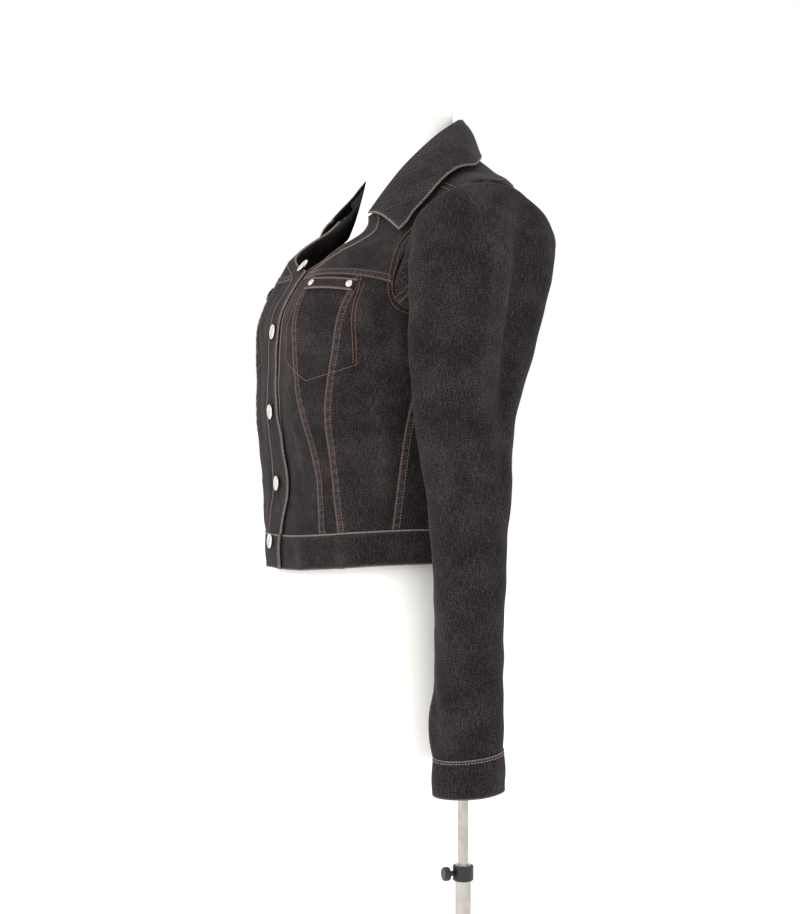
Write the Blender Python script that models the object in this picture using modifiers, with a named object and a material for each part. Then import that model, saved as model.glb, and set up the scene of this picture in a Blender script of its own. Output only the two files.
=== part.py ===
"""Cropped denim jacket with long sleeves, worn by a limbless dress form on a height-adjustable stand.

Sizes are in metres. The jacket faces -Y, its left side is +X, and the stand's base rests on z = 0.
The body of the jacket is one surface, body(t, angle): t runs up the rows of BODY_RINGS and the angle
runs from the front centre (0) over the left side (90) to the back (180). Every body panel is cut from
that surface between two seams and made solid, so neighbours keep one even seam gap.
"""

import math

import bpy
import numpy as np
from mathutils import Matrix, Vector

for old in list(bpy.data.objects):
    bpy.data.objects.remove(old, do_unlink=True)

jacket = bpy.data.collections.new("denim_jacket_on_dress_form")
bpy.context.scene.collection.children.link(jacket)

# ---- sizes ----
CLOTH = 0.0016  # one layer of denim with its seam allowance
PLACKET_WALL = 0.0020
DOUBLED = 0.0024  # bands and plackets, where the denim is folded double
SEAM_GAP = 0.0003
OVERLAP_LIFT = 0.0040  # the right front lies this far over the left one
OVERLAP_FROM, OVERLAP_TO = 0.050, 0.020  # the lift grows between these distances from the centre line
PLACKET_HALF = 0.0165
BUTTON_RADIUS = 0.0085
RIVET_RADIUS = 0.0040
STEP_ANGLE = math.radians(0.5)  # how finely slopes of the body surface are taken
STEP_T = 0.01

# One row per level of the body. Front and back points lie on the centre line, the side point is the
# furthest out; bow squares off the section, drop is how soon the ring falls from the side point.
BODY_RINGS = (
    # name       front y, z      side x, y, z           back y, z     bow f, b    drop f, b bust
    ("hem",      -0.135, 0.903,  0.158, -0.018, 0.914,  0.096, 0.924, 0.92, 0.97, 1.0, 1.0, 0.000),
    ("band_top", -0.134, 0.942,  0.155, -0.018, 0.952,  0.092, 0.962, 0.92, 0.97, 1.0, 1.0, 0.001),
    ("waist",    -0.126, 1.002,  0.148, -0.014, 1.003,  0.088, 1.005, 0.86, 0.92, 1.0, 1.0, 0.002),
    ("midriff",  -0.134, 1.080,  0.151, -0.008, 1.080,  0.098, 1.082, 0.83, 0.90, 1.0, 1.0, 0.006),
    ("bust",     -0.133, 1.150,  0.158,  0.000, 1.148,  0.112, 1.150, 0.80, 0.85, 1.0, 1.0, 0.010),
    ("underarm", -0.127, 1.194,  0.160,  0.010, 1.185,  0.122, 1.200, 0.80, 0.80, 1.5, 1.0, 0.012),
    ("yoke",     -0.106, 1.230,  0.164,  0.020, 1.203,  0.128, 1.252, 0.85, 0.80, 2.8, 2.0, 0.011),
    ("chest",    -0.087, 1.254,  0.176,  0.032, 1.262,  0.127, 1.290, 0.95, 0.85, 2.5, 2.0, 0.008),
    ("tip",      -0.072, 1.273,  0.190,  0.046, 1.320,  0.120, 1.325, 1.05, 0.95, 4.0, 1.5, 0.004),
    ("shoulder", -0.060, 1.286,  0.132,  0.047, 1.344,  0.107, 1.360, 0.90, 0.98, 2.8, 1.5, 0.000),
    ("neck",     -0.048, 1.297,  0.072,  0.045, 1.368,  0.092, 1.389, 0.75, 1.08, 2.0, 1.5, 0.000),
)
HEM, BAND, UNDERARM, YOKE, TIP, NECK = 0.0, 1.0, 5.0, 6.0, 8.0, 10.0
BUST_AT, BUST_WIDE = 0.074, 0.040  # the bust's fullest point and its spread, across

# Seams that run up the body, as (t, angle in degrees) on the left side.
SEAM_A = ((1, 36.5), (2, 32), (2.6, 29), (3, 25.5), (3.8, 21.8), (4.5, 20.5), (6, 19))
SEAM_B = ((1, 47.5), (2.2, 41.5), (3, 40.8), (4, 43.5), (5, 44), (6, 43.5))
SEAM_SIDE = ((1, 75.5), (2.2, 79.2), (3.2, 83.5), (4.2, 87), (5, 90))
SEAM_BACK = ((1, 152), (3.5, 146), (6, 143))
# The front edge above the fastened button opens away from the centre, as (t, angle).
OPEN_EDGE = ((6.3, -4), (6.6, 6), (7, 16), (7.5, 21.5), (8, 25), (9, 28), (10, 30.5))
OPEN_SEAM = ((6.3, 9), (6.6, 17), (7, 24), (7.5, 29), (8, 32), (9, 37), (10, 42))
EDGE_WAVE = (  # how far the right placket's free edge stands past the centre line
    (1, 0.026), (1.5, 0.026), (2, 0.030), (2.5, 0.024), (3, 0.017), (3.6, 0.014),
    (4.4, 0.014), (5.2, 0.017), (6, 0.0165),
)
# The right front hangs fuller than the left, and stands open at the neck, as (t, lift).
RIGHT_FULL = (
    (0, 0.0), (1, 0.001), (1.5, 0.008), (2, 0.012), (2.6, 0.009), (3.4, 0.003), (4.5, 0.001), (5.2, 0.002),
    (5.8, 0.005), (6.3, 0.009), (6.8, 0.013), (7.4, 0.013), (8.3, 0.012), (9.2, 0.010), (10, 0.008),
)
FULL_EDGE, FULL_FROM, FULL_OVER = 60.0, -6.0, 30.0  # where round the body that fullness lies, in degrees
SHOULDER_SEAM = 75.5
YOKE_CLEAR = 0.014  # the front yokes start this much t above their seam, where the cloth bends most
CORNER_T = 0.14  # the back yoke's corner at the top of the armhole is eased over this much t
ARMHOLE = (
    # name,          turn, t,    angle
    ("bottom",       -90, 5.00, 90.0),
    ("front_low",    -60, 5.22, 76.0),
    ("front_curve",  -30, 5.62, 66.0),
    ("front",          0, 6.30, 60.0),
    ("front_high",    30, 7.20, 60.0),
    ("shoulder",      60, 7.90, 72.0),
    ("top",           90, 8.15, 90.0),
    ("behind_top",   120, 8.08, 109.0),
    ("back_high",    150, 7.75, 123.0),
    ("back",         180, 6.90, 127.0),
    ("back_curve",   210, 5.95, 121.0),
    ("back_low",     240, 5.25, 106.0),
)

SLEEVE_RINGS = (
    # name         x,     y,     z      half depth, half width, tilt, pitch, fold
    ("cap_high",   0.184, 0.040, 1.262, 0.0800, 0.060, 78, 0, 0.00),
    ("cap",        0.195, 0.039, 1.251, 0.0810, 0.050, 66, 0, 0.12),
    ("cap_low",    0.199, 0.034, 1.228, 0.0810, 0.040, 45, 0, 0.24),
    ("bicep",      0.200, 0.029, 1.190, 0.0763, 0.032, 20, 0, 0.30),
    ("upper_arm",  0.203, 0.021, 1.142, 0.0692, 0.033, 8, 0, 0.26),
    ("elbow",      0.208, 0.011, 1.072, 0.0549, 0.035, 3, 0, 0.08),
    ("forearm",    0.212, 0.013, 1.000, 0.0460, 0.036, 2, 0, 0.02),
    ("lower_arm",  0.214, 0.0135, 0.940, 0.0391, 0.036, 0, 0, 0.00),
    ("slim",       0.217, 0.012, 0.860, 0.0350, 0.035, 0, 0, 0.00),
    ("above_cuff", 0.219, 0.011, 0.776, 0.0345, 0.035, 0, 3, 0.00),
    ("wrist",      0.220, 0.010, 0.7205, 0.0350, 0.0345, 0, 7, 0.00),
)
CUFF_RINGS = (
    # name         x,     y,     z,      half depth, half width, tilt, pitch, fold
    ("cuff_top",   0.220, 0.010, 0.7200, 0.0352, 0.0347, 0, 7, 0.0),
    ("cuff_mid",   0.220, 0.010, 0.6990, 0.0370, 0.0362, 0, 6, 0.0),
    ("cuff_hem",   0.220, 0.009, 0.6790, 0.0360, 0.0355, 0, 4, 0.0),
)
FOLD_AT, FOLD_WIDE = 120.0, 13.0  # the soft valley down the back of the empty sleeve, in degrees
SEAM_FRONT_ARM, SEAM_BACK_ARM = -42.0, 205.0  # where the two sleeve panels meet
VENT_BULGE, VENT_AT, VENT_WIDE = 0.007, -30.0, 22.0  # the inner seam stands out above the cuff
VENT_Z, VENT_TALL = 0.752, 0.028
ARMHOLE_OUT = (0.975, 0.0, -0.222)  # straight out of the left armhole
SLEEVE_EASE = 0.0012  # the sleeve's first ring stands this far inside the armhole

COLLAR = (
    # name,       roll line x, y, z,       leaf edge t, angle, lift,   stand foot angle
    ("front",     0.054, -0.043, 1.305,    7.60, 49.5, 0.0070, 31.0),
    ("breast",    0.067, -0.018, 1.342,    8.28, 54.0, 0.0065, 56.0),
    ("side",      0.071, 0.004, 1.367,     8.56, 65.0, 0.0065, 74.0),
    ("shoulder",  0.067, 0.036, 1.397,     8.80, 80.0, 0.0065, 95.0),
    ("nape_side", 0.045, 0.068, 1.418,     9.30, 116.0, 0.0045, 132.0),
    ("nape",      0.000, 0.089, 1.428,     9.66, 180.0, 0.0040, 180.0),
)

BUTTONS = (
    # height, name,        seat: how far the shank holds it off the cloth
    (0.934,   "waistband", 0.0003),
    (1.000,   "waist",     0.0004),
    (1.082,   "midriff",   0.0004),
    (1.172,   "bust",      0.0004),
    (1.243,   "yoke",      0.0013),
)
WELT = {"t": (5.52, 5.86), "angle": (21.0, 46.0)}
RIVET_T, RIVET_ANGLES = 5.69, (23.8, 43.2)

POLE_XY = (0.0, 0.095)
POLE_RADIUS = 0.00635
POLE_FOOT = 0.250
TUBE_RADIUS, TUBE_FIT = 0.0095, 0.00008
CLAMP_Z, CLAMP_HEIGHT, CLAMP_RADIUS = 0.527, 0.018, 0.0125
BASE_RADIUS, BASE_EDGE, BASE_TOP, BASE_CENTRE = 0.170, 0.006, 0.0122, (0.0, 0.035)


# ---- helpers ----
def through(values, t):
    """A smooth curve through the values, one per whole t."""
    values = np.asarray(values, float)
    last = len(values) - 1
    t = np.clip(t, 0, last)
    i = np.minimum(np.floor(t).astype(int), last - 1)
    f = t - i
    a, b, c, d = (values[np.clip(i + k, 0, last)] for k in (-1, 0, 1, 2))
    return 0.5 * (2 * b + (c - a) * f + (2 * a - 5 * b + 4 * c - d) * f**2 + (3 * b - a - 3 * c + d) * f**3)


def read(table, t):
    """The value of a two-column table at t, in a straight line between rows."""
    return np.interp(t, [row[0] for row in table], [row[1] for row in table])


def soft_step(x):
    x = np.clip(x, 0, 1)
    return x * x * (3 - 2 * x)


def body(t, angle):
    """A point of the jacket's inner surface; t and angle (radians) may be arrays."""
    t, angle = np.broadcast_arrays(np.asarray(t, float), np.asarray(angle, float))
    rows = np.array([row[1:] for row in BODY_RINGS])
    fy, fz, sx, sy, sz, by, bz, bow_f, bow_b, drop_f, drop_b, bust = (
        through(rows[:, k], t) for k in range(rows.shape[1])
    )
    sine, cosine = np.sin(angle), np.cos(angle)
    front = cosine > 0
    bow, drop = np.where(front, bow_f, bow_b), np.where(front, drop_f, drop_b)
    x = sx * np.sign(sine) * np.abs(sine) ** bow
    y = sy + (np.where(front, fy, by) - sy) * np.abs(cosine) ** bow
    z = sz + (np.where(front, fz, bz) - sz) * (1 - np.abs(sine) ** (2 * drop))
    y = y - bust * np.exp(-(((np.abs(x) - BUST_AT) / BUST_WIDE) ** 2)) * front
    return np.stack([x, y, z], -1)


def outward(t, angle):
    """The body surface's unit normal, away from the wearer."""
    around = body(t, angle + STEP_ANGLE) - body(t, angle - STEP_ANGLE)
    up = body(t + STEP_T, angle) - body(t - STEP_T, angle)
    across = np.cross(around, up)
    return across / np.maximum(np.linalg.norm(across, axis=-1, keepdims=True), 1e-12)


def raised(t, angle, lift):
    """A point lifted off the body surface."""
    t, angle, lift = np.broadcast_arrays(t, angle, lift)
    return body(t, angle) + outward(t, angle) * lift[..., None]


def angle_at(t, x):
    """The angle near the front centre where the body surface stands at x."""
    rows = np.array([row[1:] for row in BODY_RINGS])
    wide, bow = through(rows[:, 2], t), through(rows[:, 7], t)
    return np.sign(x) * np.arcsin((np.abs(x) / wide) ** (1 / bow))


def t_at(z):
    """The level t whose front centre point has this height."""
    levels = np.linspace(HEM, TIP, 400)
    return float(np.interp(z, body(levels, 0.0)[:, 2], levels))


def overlap(t, angle):
    """How far the right front stands off the body surface; angle is negative on the right."""
    x, degrees = body(t, angle)[..., 0], -np.degrees(angle)
    lapped = OVERLAP_LIFT * soft_step((x + OVERLAP_FROM) / (OVERLAP_FROM - OVERLAP_TO))
    full = soft_step((FULL_EDGE - degrees) / FULL_OVER) * soft_step((degrees - FULL_FROM) / FULL_OVER)
    return lapped + read(RIGHT_FULL, t) * full


def material(name, hex_colour, rough, metallic=0.0):
    made = bpy.data.materials.new(name)
    made.use_nodes = True
    shader = made.node_tree.nodes["Principled BSDF"]
    srgb = [int(hex_colour[k : k + 2], 16) / 255 for k in (0, 2, 4)]
    linear = [c / 12.92 if c <= 0.04045 else ((c + 0.055) / 1.055) ** 2.4 for c in srgb]
    shader.inputs["Base Color"].default_value = (*linear, 1.0)
    shader.inputs["Roughness"].default_value = rough
    shader.inputs["Metallic"].default_value = metallic
    return made


LOOKS = {  # colour, roughness, metallic
    "denim": ("37333A", 0.9, 0.0),
    "button_metal": ("C9C8C4", 0.3, 1.0),
    "form_cover": ("F2F0EA", 0.7, 0.0),
    "chrome": ("D8D8D8", 0.12, 1.0),
    "black_plastic": ("1A1A1A", 0.5, 0.0),
}


def add(name, points, faces, look, solidify=0.0, rounded=True):
    """One named object with its own material. points are in metres, in the shared frame."""
    mesh = bpy.data.meshes.new(name)
    mesh.from_pydata([tuple(float(c) for c in p) for p in points], [], faces)
    mesh.update()
    made = bpy.data.objects.new(name, mesh)
    jacket.objects.link(made)
    mesh.materials.append(material(f"{name} {look}", *LOOKS[look]))
    if rounded:
        mesh.shade_smooth()
    if solidify:
        wall = made.modifiers.new("cloth wall", "SOLIDIFY")
        wall.thickness = solidify
        wall.offset = 1.0
        wall.use_even_offset = False
    return made


def inset(grid, closed=False):
    """The grid with its borders drawn in by half a seam gap."""
    grid = grid.copy()
    for edge, inner in ((0, 1), (-1, -2)):
        step = grid[inner] - grid[edge]
        grid[edge] += step / np.linalg.norm(step, axis=-1, keepdims=True) * SEAM_GAP / 2
    if not closed:
        for edge, inner in ((0, 1), (-1, -2)):
            step = grid[:, inner] - grid[:, edge]
            grid[:, edge] += step / np.linalg.norm(step, axis=-1, keepdims=True) * SEAM_GAP / 2
    return grid


def sheet(name, grid, thickness, closed=False):
    """A cloth panel from rows of points that run round the wearer; it is made solid outwards."""
    grid = inset(grid, closed)
    rows, columns = grid.shape[:2]
    spans = columns if closed else columns - 1
    faces = [
        (i * columns + j, i * columns + (j + 1) % columns,
         (i + 1) * columns + (j + 1) % columns, (i + 1) * columns + j)
        for i in range(rows - 1) for j in range(spans)
    ]
    return add(name, grid.reshape(-1, 3), faces, "denim", solidify=thickness)


def cut(name, levels, left, right, columns, thickness=CLOTH, lift=0.0, side=1):
    """A body panel between two seams. left and right give radians at a level; side -1 is the right."""
    levels = np.asarray(levels, float)
    a, b = (np.array([edge(t) for t in levels]) for edge in (left, right))
    share = np.linspace(0, 1, columns + 1)
    angles = a[:, None] * (1 - share) + b[:, None] * share
    if side < 0:
        angles = -angles[:, ::-1]
    t = np.repeat(levels[:, None], columns + 1, axis=1)
    raise_by = lift + (overlap(t, angles) if side < 0 else 0.0)
    return sheet(name, raised(t, angles, raise_by), thickness)


def line(table):
    return lambda t: math.radians(float(read(table, t)))


def both_sides(stem, *args, **kwargs):
    cut(f"{stem}_L", *args, side=1, **kwargs)
    cut(f"{stem}_R", *args, side=-1, **kwargs)


# ---- armhole: one closed curve, shared by the panels, the yokes and the sleeve ----
def armhole(turn):
    """(t, angle in radians) of the armhole at a turn in degrees; -90 is the underarm, 0 the front."""
    k = (np.asarray(turn, float) + 90) / 30
    t = [row[2] for row in ARMHOLE]
    degrees = [row[3] for row in ARMHOLE]
    pad = 3
    k = np.mod(k, len(ARMHOLE)) + pad
    t, degrees = (column[-pad:] + column + column[:pad] for column in (t, degrees))
    return through(t, k), np.radians(through(degrees, k))


FRONT_ARM = [armhole(v) for v in np.linspace(-90, 90, 61)]
BACK_ARM = [armhole(v) for v in np.linspace(270, 90, 61)]


def arm_edge(side_of_arm):
    t = np.maximum.accumulate([float(p[0]) for p in side_of_arm])
    return lambda level: float(np.interp(level, t, [float(p[1]) for p in side_of_arm]))


front_arm, back_arm = arm_edge(FRONT_ARM), arm_edge(BACK_ARM)
ARM_TOP = float(max(p[0] for p in FRONT_ARM))


def side_front(t):
    """Right-hand border of the side front: the side seam, then the armhole."""
    return line(SEAM_SIDE)(t) if t < UNDERARM else front_arm(t)


def side_back(t):
    return line(SEAM_SIDE)(t) if t < UNDERARM else back_arm(t)


def yoke_front_end(t):
    shoulder = math.radians(SHOULDER_SEAM - 0.2)
    return min(front_arm(t), shoulder) if t < TIP else shoulder


def yoke_back_end(t):
    shoulder = math.radians(SHOULDER_SEAM + 0.2)
    if t <= ARM_TOP:
        return back_arm(t)
    return shoulder + (back_arm(ARM_TOP) - shoulder) * max(0.0, 1 - (t - ARM_TOP) / CORNER_T)


# ---- front plackets, straight to the top button, then opening to the collar ----
def placket_inner(t):
    straight, opened = float(angle_at(t, PLACKET_HALF)), line(OPEN_SEAM)(t)
    return straight if t <= YOKE + YOKE_CLEAR else max(straight, opened)


def placket_free(side):
    """The strip's free edge. The left one lies under; the right one's edge waves over it."""
    def edge(t):
        past = float(read(EDGE_WAVE, t)) if side < 0 else PLACKET_HALF
        straight = -float(angle_at(t, past))
        return straight if t <= YOKE + YOKE_CLEAR else max(straight, line(OPEN_EDGE)(t))
    return edge


PANEL_LEVELS = [1, 1.4, 1.8, 2.2, 2.6, 3, 3.5, 4, 4.5, 5, 5.2, 5.45, 5.7, 6]
YOKE_LEVELS = [YOKE + YOKE_CLEAR, 6.3, 6.6, 7, 7.4, 7.7, 7.95, 8.3, 8.7, 9.2, 9.6, 10]
PLACKET_LEVELS = PANEL_LEVELS[:-1] + YOKE_LEVELS
BACK_YOKE_LEVELS = [6, 6.4, 6.8, 7.2, 7.6, 7.85, 8.0, ARM_TOP, ARM_TOP + CORNER_T, 8.7, 9.2, 9.6, 10]
for side, tag in ((1, "L"), (-1, "R")):
    cut(f"placket_{tag}", PLACKET_LEVELS, placket_free(side), placket_inner, 4,
        thickness=DOUBLED if side > 0 else PLACKET_WALL, side=side)

both_sides("front_centre", PANEL_LEVELS, placket_inner, line(SEAM_A), 3)
both_sides("front_middle", PANEL_LEVELS, line(SEAM_A), line(SEAM_B), 3)
both_sides("front_side", PANEL_LEVELS, line(SEAM_B), side_front, 4)
both_sides("back_side", PANEL_LEVELS, side_back, line(SEAM_BACK), 6)
both_sides("front_yoke", YOKE_LEVELS, placket_inner, yoke_front_end, 6)
cut("back_centre", PANEL_LEVELS, line(SEAM_BACK), lambda t: 2 * math.pi - line(SEAM_BACK)(t), 8)
cut("back_yoke", BACK_YOKE_LEVELS, yoke_back_end, lambda t: 2 * math.pi - yoke_back_end(t), 26)

# ---- waistband: one strip all round, its right end lapped over the left one ----
band_levels = np.array([HEM, 0.5, BAND])
band_front = math.radians(40)  # the band's sections stand closer together within this of the front centre
lap = float(angle_at(0.5, PLACKET_HALF))
band_angles = np.concatenate([np.linspace(-lap, band_front, 8)[:-1],
                              np.linspace(band_front, 2 * math.pi - band_front, 38)[:-1],
                              np.linspace(2 * math.pi - band_front, 2 * math.pi + 1.5 * lap, 10)])
band_t, band_a = np.meshgrid(band_levels, band_angles, indexing="ij")
right_half = band_a > math.pi
band_lift = np.where(right_half, overlap(band_t, band_a - 2 * math.pi), 0.0)
sheet("waistband", raised(band_t, band_a, band_lift), DOUBLED)

# ---- chest welts, lying on the panels just under the yokes ----
WELT_LIFT, WELT_WALL = CLOTH + 2 * SEAM_GAP, 0.0014
for side, tag in ((1, "L"), (-1, "R")):
    cut(f"chest_welt_{tag}", np.linspace(*WELT["t"], 3), lambda t: math.radians(WELT["angle"][0]),
        lambda t: math.radians(WELT["angle"][1]), 6, thickness=WELT_WALL, lift=WELT_LIFT, side=side)


# ---- collar: a stand on the neck seam and a leaf that falls from the roll line ----
def collar_row(k):
    """Roll point and leaf edge at k, from 0 at the left front to 10 at the right front."""
    half = len(COLLAR) - 1
    mirrored = k > half
    k = 2 * half - k if mirrored else k
    roll = np.array([through([row[c] for row in COLLAR], k) for c in (1, 2, 3)])
    t, degrees, lift = (float(through([row[c] for row in COLLAR], k)) for c in (4, 5, 6))
    edge = raised(t, math.radians(degrees), CLOTH + lift)
    foot = float(through([row[7] for row in COLLAR], k))
    return roll, edge, (t, degrees), foot, mirrored


def stand_off(t, degrees):
    """How far the right half of the collar stands off with the open front below it."""
    angle = math.radians(degrees)
    return outward(t, angle) * float(overlap(t, -angle))


LEAF_WALL, STAND_WALL = 0.0018, 0.0016
STAND_FROM, STAND_SEAM, UNDER_LEAF = 0.8, 0.0022, 0.0026
LEAF_BELLY = ((0, 0.0), (0.12, 0.0030), (0.35, 0.0048), (0.68, 0.0040), (1.0, 0.0))
leaf, stand = [], []
for k in np.linspace(0, 2 * (len(COLLAR) - 1), 31):
    roll, edge, (edge_t, edge_degrees), foot_angle, mirrored = collar_row(float(k))
    flip = np.array([-1.0 if mirrored else 1.0, 1.0, 1.0])
    away = edge - roll
    rise = np.array([0.0, 0.0, 1.0]) - away * away[2] / np.dot(away, away)
    belly = rise / np.linalg.norm(rise)
    row = []
    for share, bow in LEAF_BELLY:
        point = roll + away * share + belly * bow
        if mirrored:
            point = point + stand_off(NECK + (edge_t - NECK) * share, foot_angle + (edge_degrees - foot_angle) * share)
        row.append(point * flip)
    leaf.append(row)
    if not STAND_FROM <= k <= len(COLLAR) * 2 - 2 - STAND_FROM:
        continue
    seam = raised(NECK, math.radians(foot_angle), 0.0)
    up = seam - raised(NECK - 0.2, math.radians(foot_angle), 0.0)
    foot = seam + up / np.linalg.norm(up) * STAND_SEAM
    under = roll - belly * UNDER_LEAF
    if mirrored:
        foot, under = foot + stand_off(NECK, foot_angle), under + stand_off(NECK, foot_angle)
    stand.append([foot * flip, (foot + under) / 2 * flip, under * flip])
sheet("collar_leaf", np.array(leaf)[:, ::-1].transpose(1, 0, 2), LEAF_WALL)
sheet("collar_stand", np.array(stand).transpose(1, 0, 2), STAND_WALL)


# ---- sleeves ----
def ring_point(row, turn):
    """A point of a sleeve or cuff ring; row holds its columns, turn is in degrees from the front."""
    x, y, z, deep, wide, tilt, pitch, fold = row
    turn = np.radians(turn)
    tilt, pitch = np.radians(tilt), np.radians(pitch)
    dent = 1 - fold * np.exp(-(((np.degrees(turn) - FOLD_AT) / FOLD_WIDE) ** 2))
    forward, out = -deep * np.cos(turn) * dent, wide * np.sin(turn) * dent
    return np.stack([x + out * np.cos(tilt), y + forward, z + out * np.sin(tilt) + forward * np.tan(pitch)], -1)


def armhole_ring(turn, out):
    """A ring just inside the armhole's edge, this far out of the armhole's plane."""
    t, angle = armhole(turn)
    edge = body(t, angle) + np.array(ARMHOLE_OUT) * out
    middle = body(*armhole(np.arange(-90, 270, 30))).mean(axis=0) + np.array(ARMHOLE_OUT) * out
    inward = middle - edge
    return edge + inward / np.linalg.norm(inward, axis=-1, keepdims=True) * (CLOTH + SLEEVE_EASE)


def sleeve(s, turn):
    """A point of the left sleeve's inner surface; s is 0 at the armhole and 12 at the wrist."""
    turn = np.asarray(turn, float)
    rings = [armhole_ring(turn, 0.0004), armhole_ring(turn, 0.0045)]
    rings = np.stack(rings + [ring_point(row[1:], turn) for row in SLEEVE_RINGS])
    flat = rings.reshape(len(rings), -1)
    point = np.stack([through(flat[:, c], s) for c in range(flat.shape[1])]).reshape(rings.shape[1:])
    off = np.mod(turn - VENT_AT + 180, 360) - 180
    near = np.exp(-((off / VENT_WIDE) ** 2)) * np.exp(-(((point[..., 2] - VENT_Z) / VENT_TALL) ** 2))
    point[..., 1] -= VENT_BULGE * near
    return point


SLEEVE_LEVELS = [0, 1, 1.5, 2, 2.5, 3, 3.5, 4, 4.5, 5, 5.5, 6, 7, 8, 9, 10, 10.5, 11, 11.5, 12]


def turns_at(side_of_arm, turns, levels):
    """Turns where one half of the armhole reaches these levels, so both edges share their corners."""
    return np.interp(levels, np.maximum.accumulate([float(p[0]) for p in side_of_arm]), turns)


curve_levels = [v for v in PANEL_LEVELS[:-1] if v > UNDERARM]
shared = np.concatenate([
    turns_at(FRONT_ARM, np.linspace(-90, 90, 61), curve_levels + [v for v in YOKE_LEVELS if v < TIP] + [ARM_TOP]),
    turns_at(BACK_ARM, np.linspace(270, 90, 61), curve_levels + [v for v in BACK_YOKE_LEVELS if v <= TIP]),
])
wanted = np.unique(np.round(np.concatenate([shared, [60, 78, 102, 111, 120, 128, 136, 165]]), 1))
upper_turns = [SEAM_FRONT_ARM] + [v for v in wanted if SEAM_FRONT_ARM + 2 < v < SEAM_BACK_ARM - 2] + [SEAM_BACK_ARM]
low = [v for v in wanted if v > SEAM_BACK_ARM + 2] + [v + 360 for v in wanted if v < SEAM_FRONT_ARM - 2]
under_turns = [SEAM_BACK_ARM] + low + [360 + SEAM_FRONT_ARM]
cuff_turns = np.linspace(0, 360, 25)[:-1]
cuff = np.array([ring_point(row[1:], cuff_turns) for row in CUFF_RINGS])
mirror = np.array([-1.0, 1.0, 1.0])
for side, tag in ((1, "L"), (-1, "R")):
    for stem, turns in (("sleeve_upper", upper_turns), ("sleeve_under", under_turns)):
        grid = np.array([sleeve(s, turns) for s in SLEEVE_LEVELS])
        # Rows run down the arm, so the left one is turned over to keep its faces outwards.
        sheet(f"{stem}_{tag}", grid[::-1] if side > 0 else grid[:, ::-1][::-1] * mirror, CLOTH)
    sheet(f"cuff_{tag}", cuff[::-1] if side > 0 else cuff[:, ::-1][::-1] * mirror, DOUBLED, closed=True)


# ---- turned pieces: buttons, rivets, pole, clamp and base ----
def turned(name, profile, look, place, along=(0, 0, 1), steps=24):
    """A solid of revolution. profile is (radius, height) from the axis at the foot to the axis on top."""
    along = Vector(along).normalized()
    turn = Vector((0, 0, 1)).rotation_difference(along).to_matrix().to_4x4()
    made = add(name, [(r, 0, h) for r, h in profile], [], look)
    made.data.clear_geometry()
    made.data.from_pydata([(r, 0, h) for r, h in profile], [(i, i + 1) for i in range(len(profile) - 1)], [])
    spin = made.modifiers.new("turn", "SCREW")
    spin.steps = spin.render_steps = steps
    spin.use_merge_vertices = True
    spin.merge_threshold = 0.00001
    spin.use_normal_flip = True
    made.matrix_world = Matrix.Translation(Vector(place)) @ turn
    return made


BUTTON = (
    (0, 0), (0.0030, 0), (0.0030, 0.0012), (BUTTON_RADIUS - 0.0008, 0.0014), (BUTTON_RADIUS, 0.0021),
    (BUTTON_RADIUS - 0.0006, 0.0031), (0.0056, 0.0036), (0, 0.0038),
)


def flat_rise(t, levels):
    """How far a strip's flat facets at the centre line stand above the smooth surface."""
    high = int(np.searchsorted(levels, t))
    low, high = levels[high - 1], levels[high]
    ends = [raised(v, 0.0, overlap(v, 0.0)) for v in (low, high)]
    share = (t - low) / (high - low)
    chord = ends[0] * (1 - share) + ends[1] * share - raised(t, 0.0, overlap(t, 0.0))
    return max(0.0, float(np.dot(chord, outward(t, 0.0))))


for z, where, seat in BUTTONS:
    t = t_at(z)
    lapped = where == "waistband"
    top = float(overlap(t, 0.0)) + (DOUBLED if lapped else PLACKET_WALL)
    top += seat + flat_rise(t, list(band_levels) if lapped else PLACKET_LEVELS)
    turned(f"button_{where}", BUTTON, "button_metal", raised(t, 0.0, top), outward(t, 0.0), steps=20)

RIVET_LIFT = WELT_LIFT + WELT_WALL + 2 * SEAM_GAP
RIVET = ((0, 0), (RIVET_RADIUS, 0), (RIVET_RADIUS, 0.0005), (0.0030, 0.0012), (0, 0.0015))
for tag, sign in (("L", 1), ("R", -1)):
    for n, degrees in enumerate(RIVET_ANGLES, start=1):
        angle = math.radians(degrees) * sign
        turned(f"rivet_{tag}{n}", RIVET, "button_metal",
               raised(RIVET_T, angle, RIVET_LIFT + (float(overlap(RIVET_T, angle)) if sign < 0 else 0.0)),
               outward(RIVET_T, angle), steps=16)

# ---- dress form: the same body, drawn in under the cloth, closed at the hips and the neck ----
ARM_EASE = 0.0060
CHEST_EASE = ((5.8, 0.0), (6.5, 0.006), (7.2, 0.011), (8.2, 0.013), (9.2, 0.012), (10, 0.009))
FORM_EASE = ((0, 0.0110), (1, 0.0100), (2, 0.0070), (4, 0.0040), (5.5, 0.0026), (7, 0.0022), (8, 0.0020), (10, 0.0018))
FORM_ROWS = (
    # name          front y, z      side x, y, z          back y, z     bow
    ("foot_rim",    -0.088, 0.700,  0.143, 0.012, 0.700, 0.114, 0.700, 1.0),
    ("foot",        -0.094, 0.706,  0.149, 0.012, 0.706, 0.120, 0.706, 1.0),
    ("thigh",       -0.104, 0.760,  0.158, 0.008, 0.760, 0.130, 0.760, 1.0),
    ("hip",         -0.116, 0.820,  0.162, 0.002, 0.820, 0.131, 0.820, 1.0),
    ("high_hip",    -0.124, 0.860,  0.159, -0.004, 0.860, 0.121, 0.860, 1.0),
    ("under_hem",   -0.126, 0.892,  0.152, -0.012, 0.897, 0.100, 0.900, 0.97),
)
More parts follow.
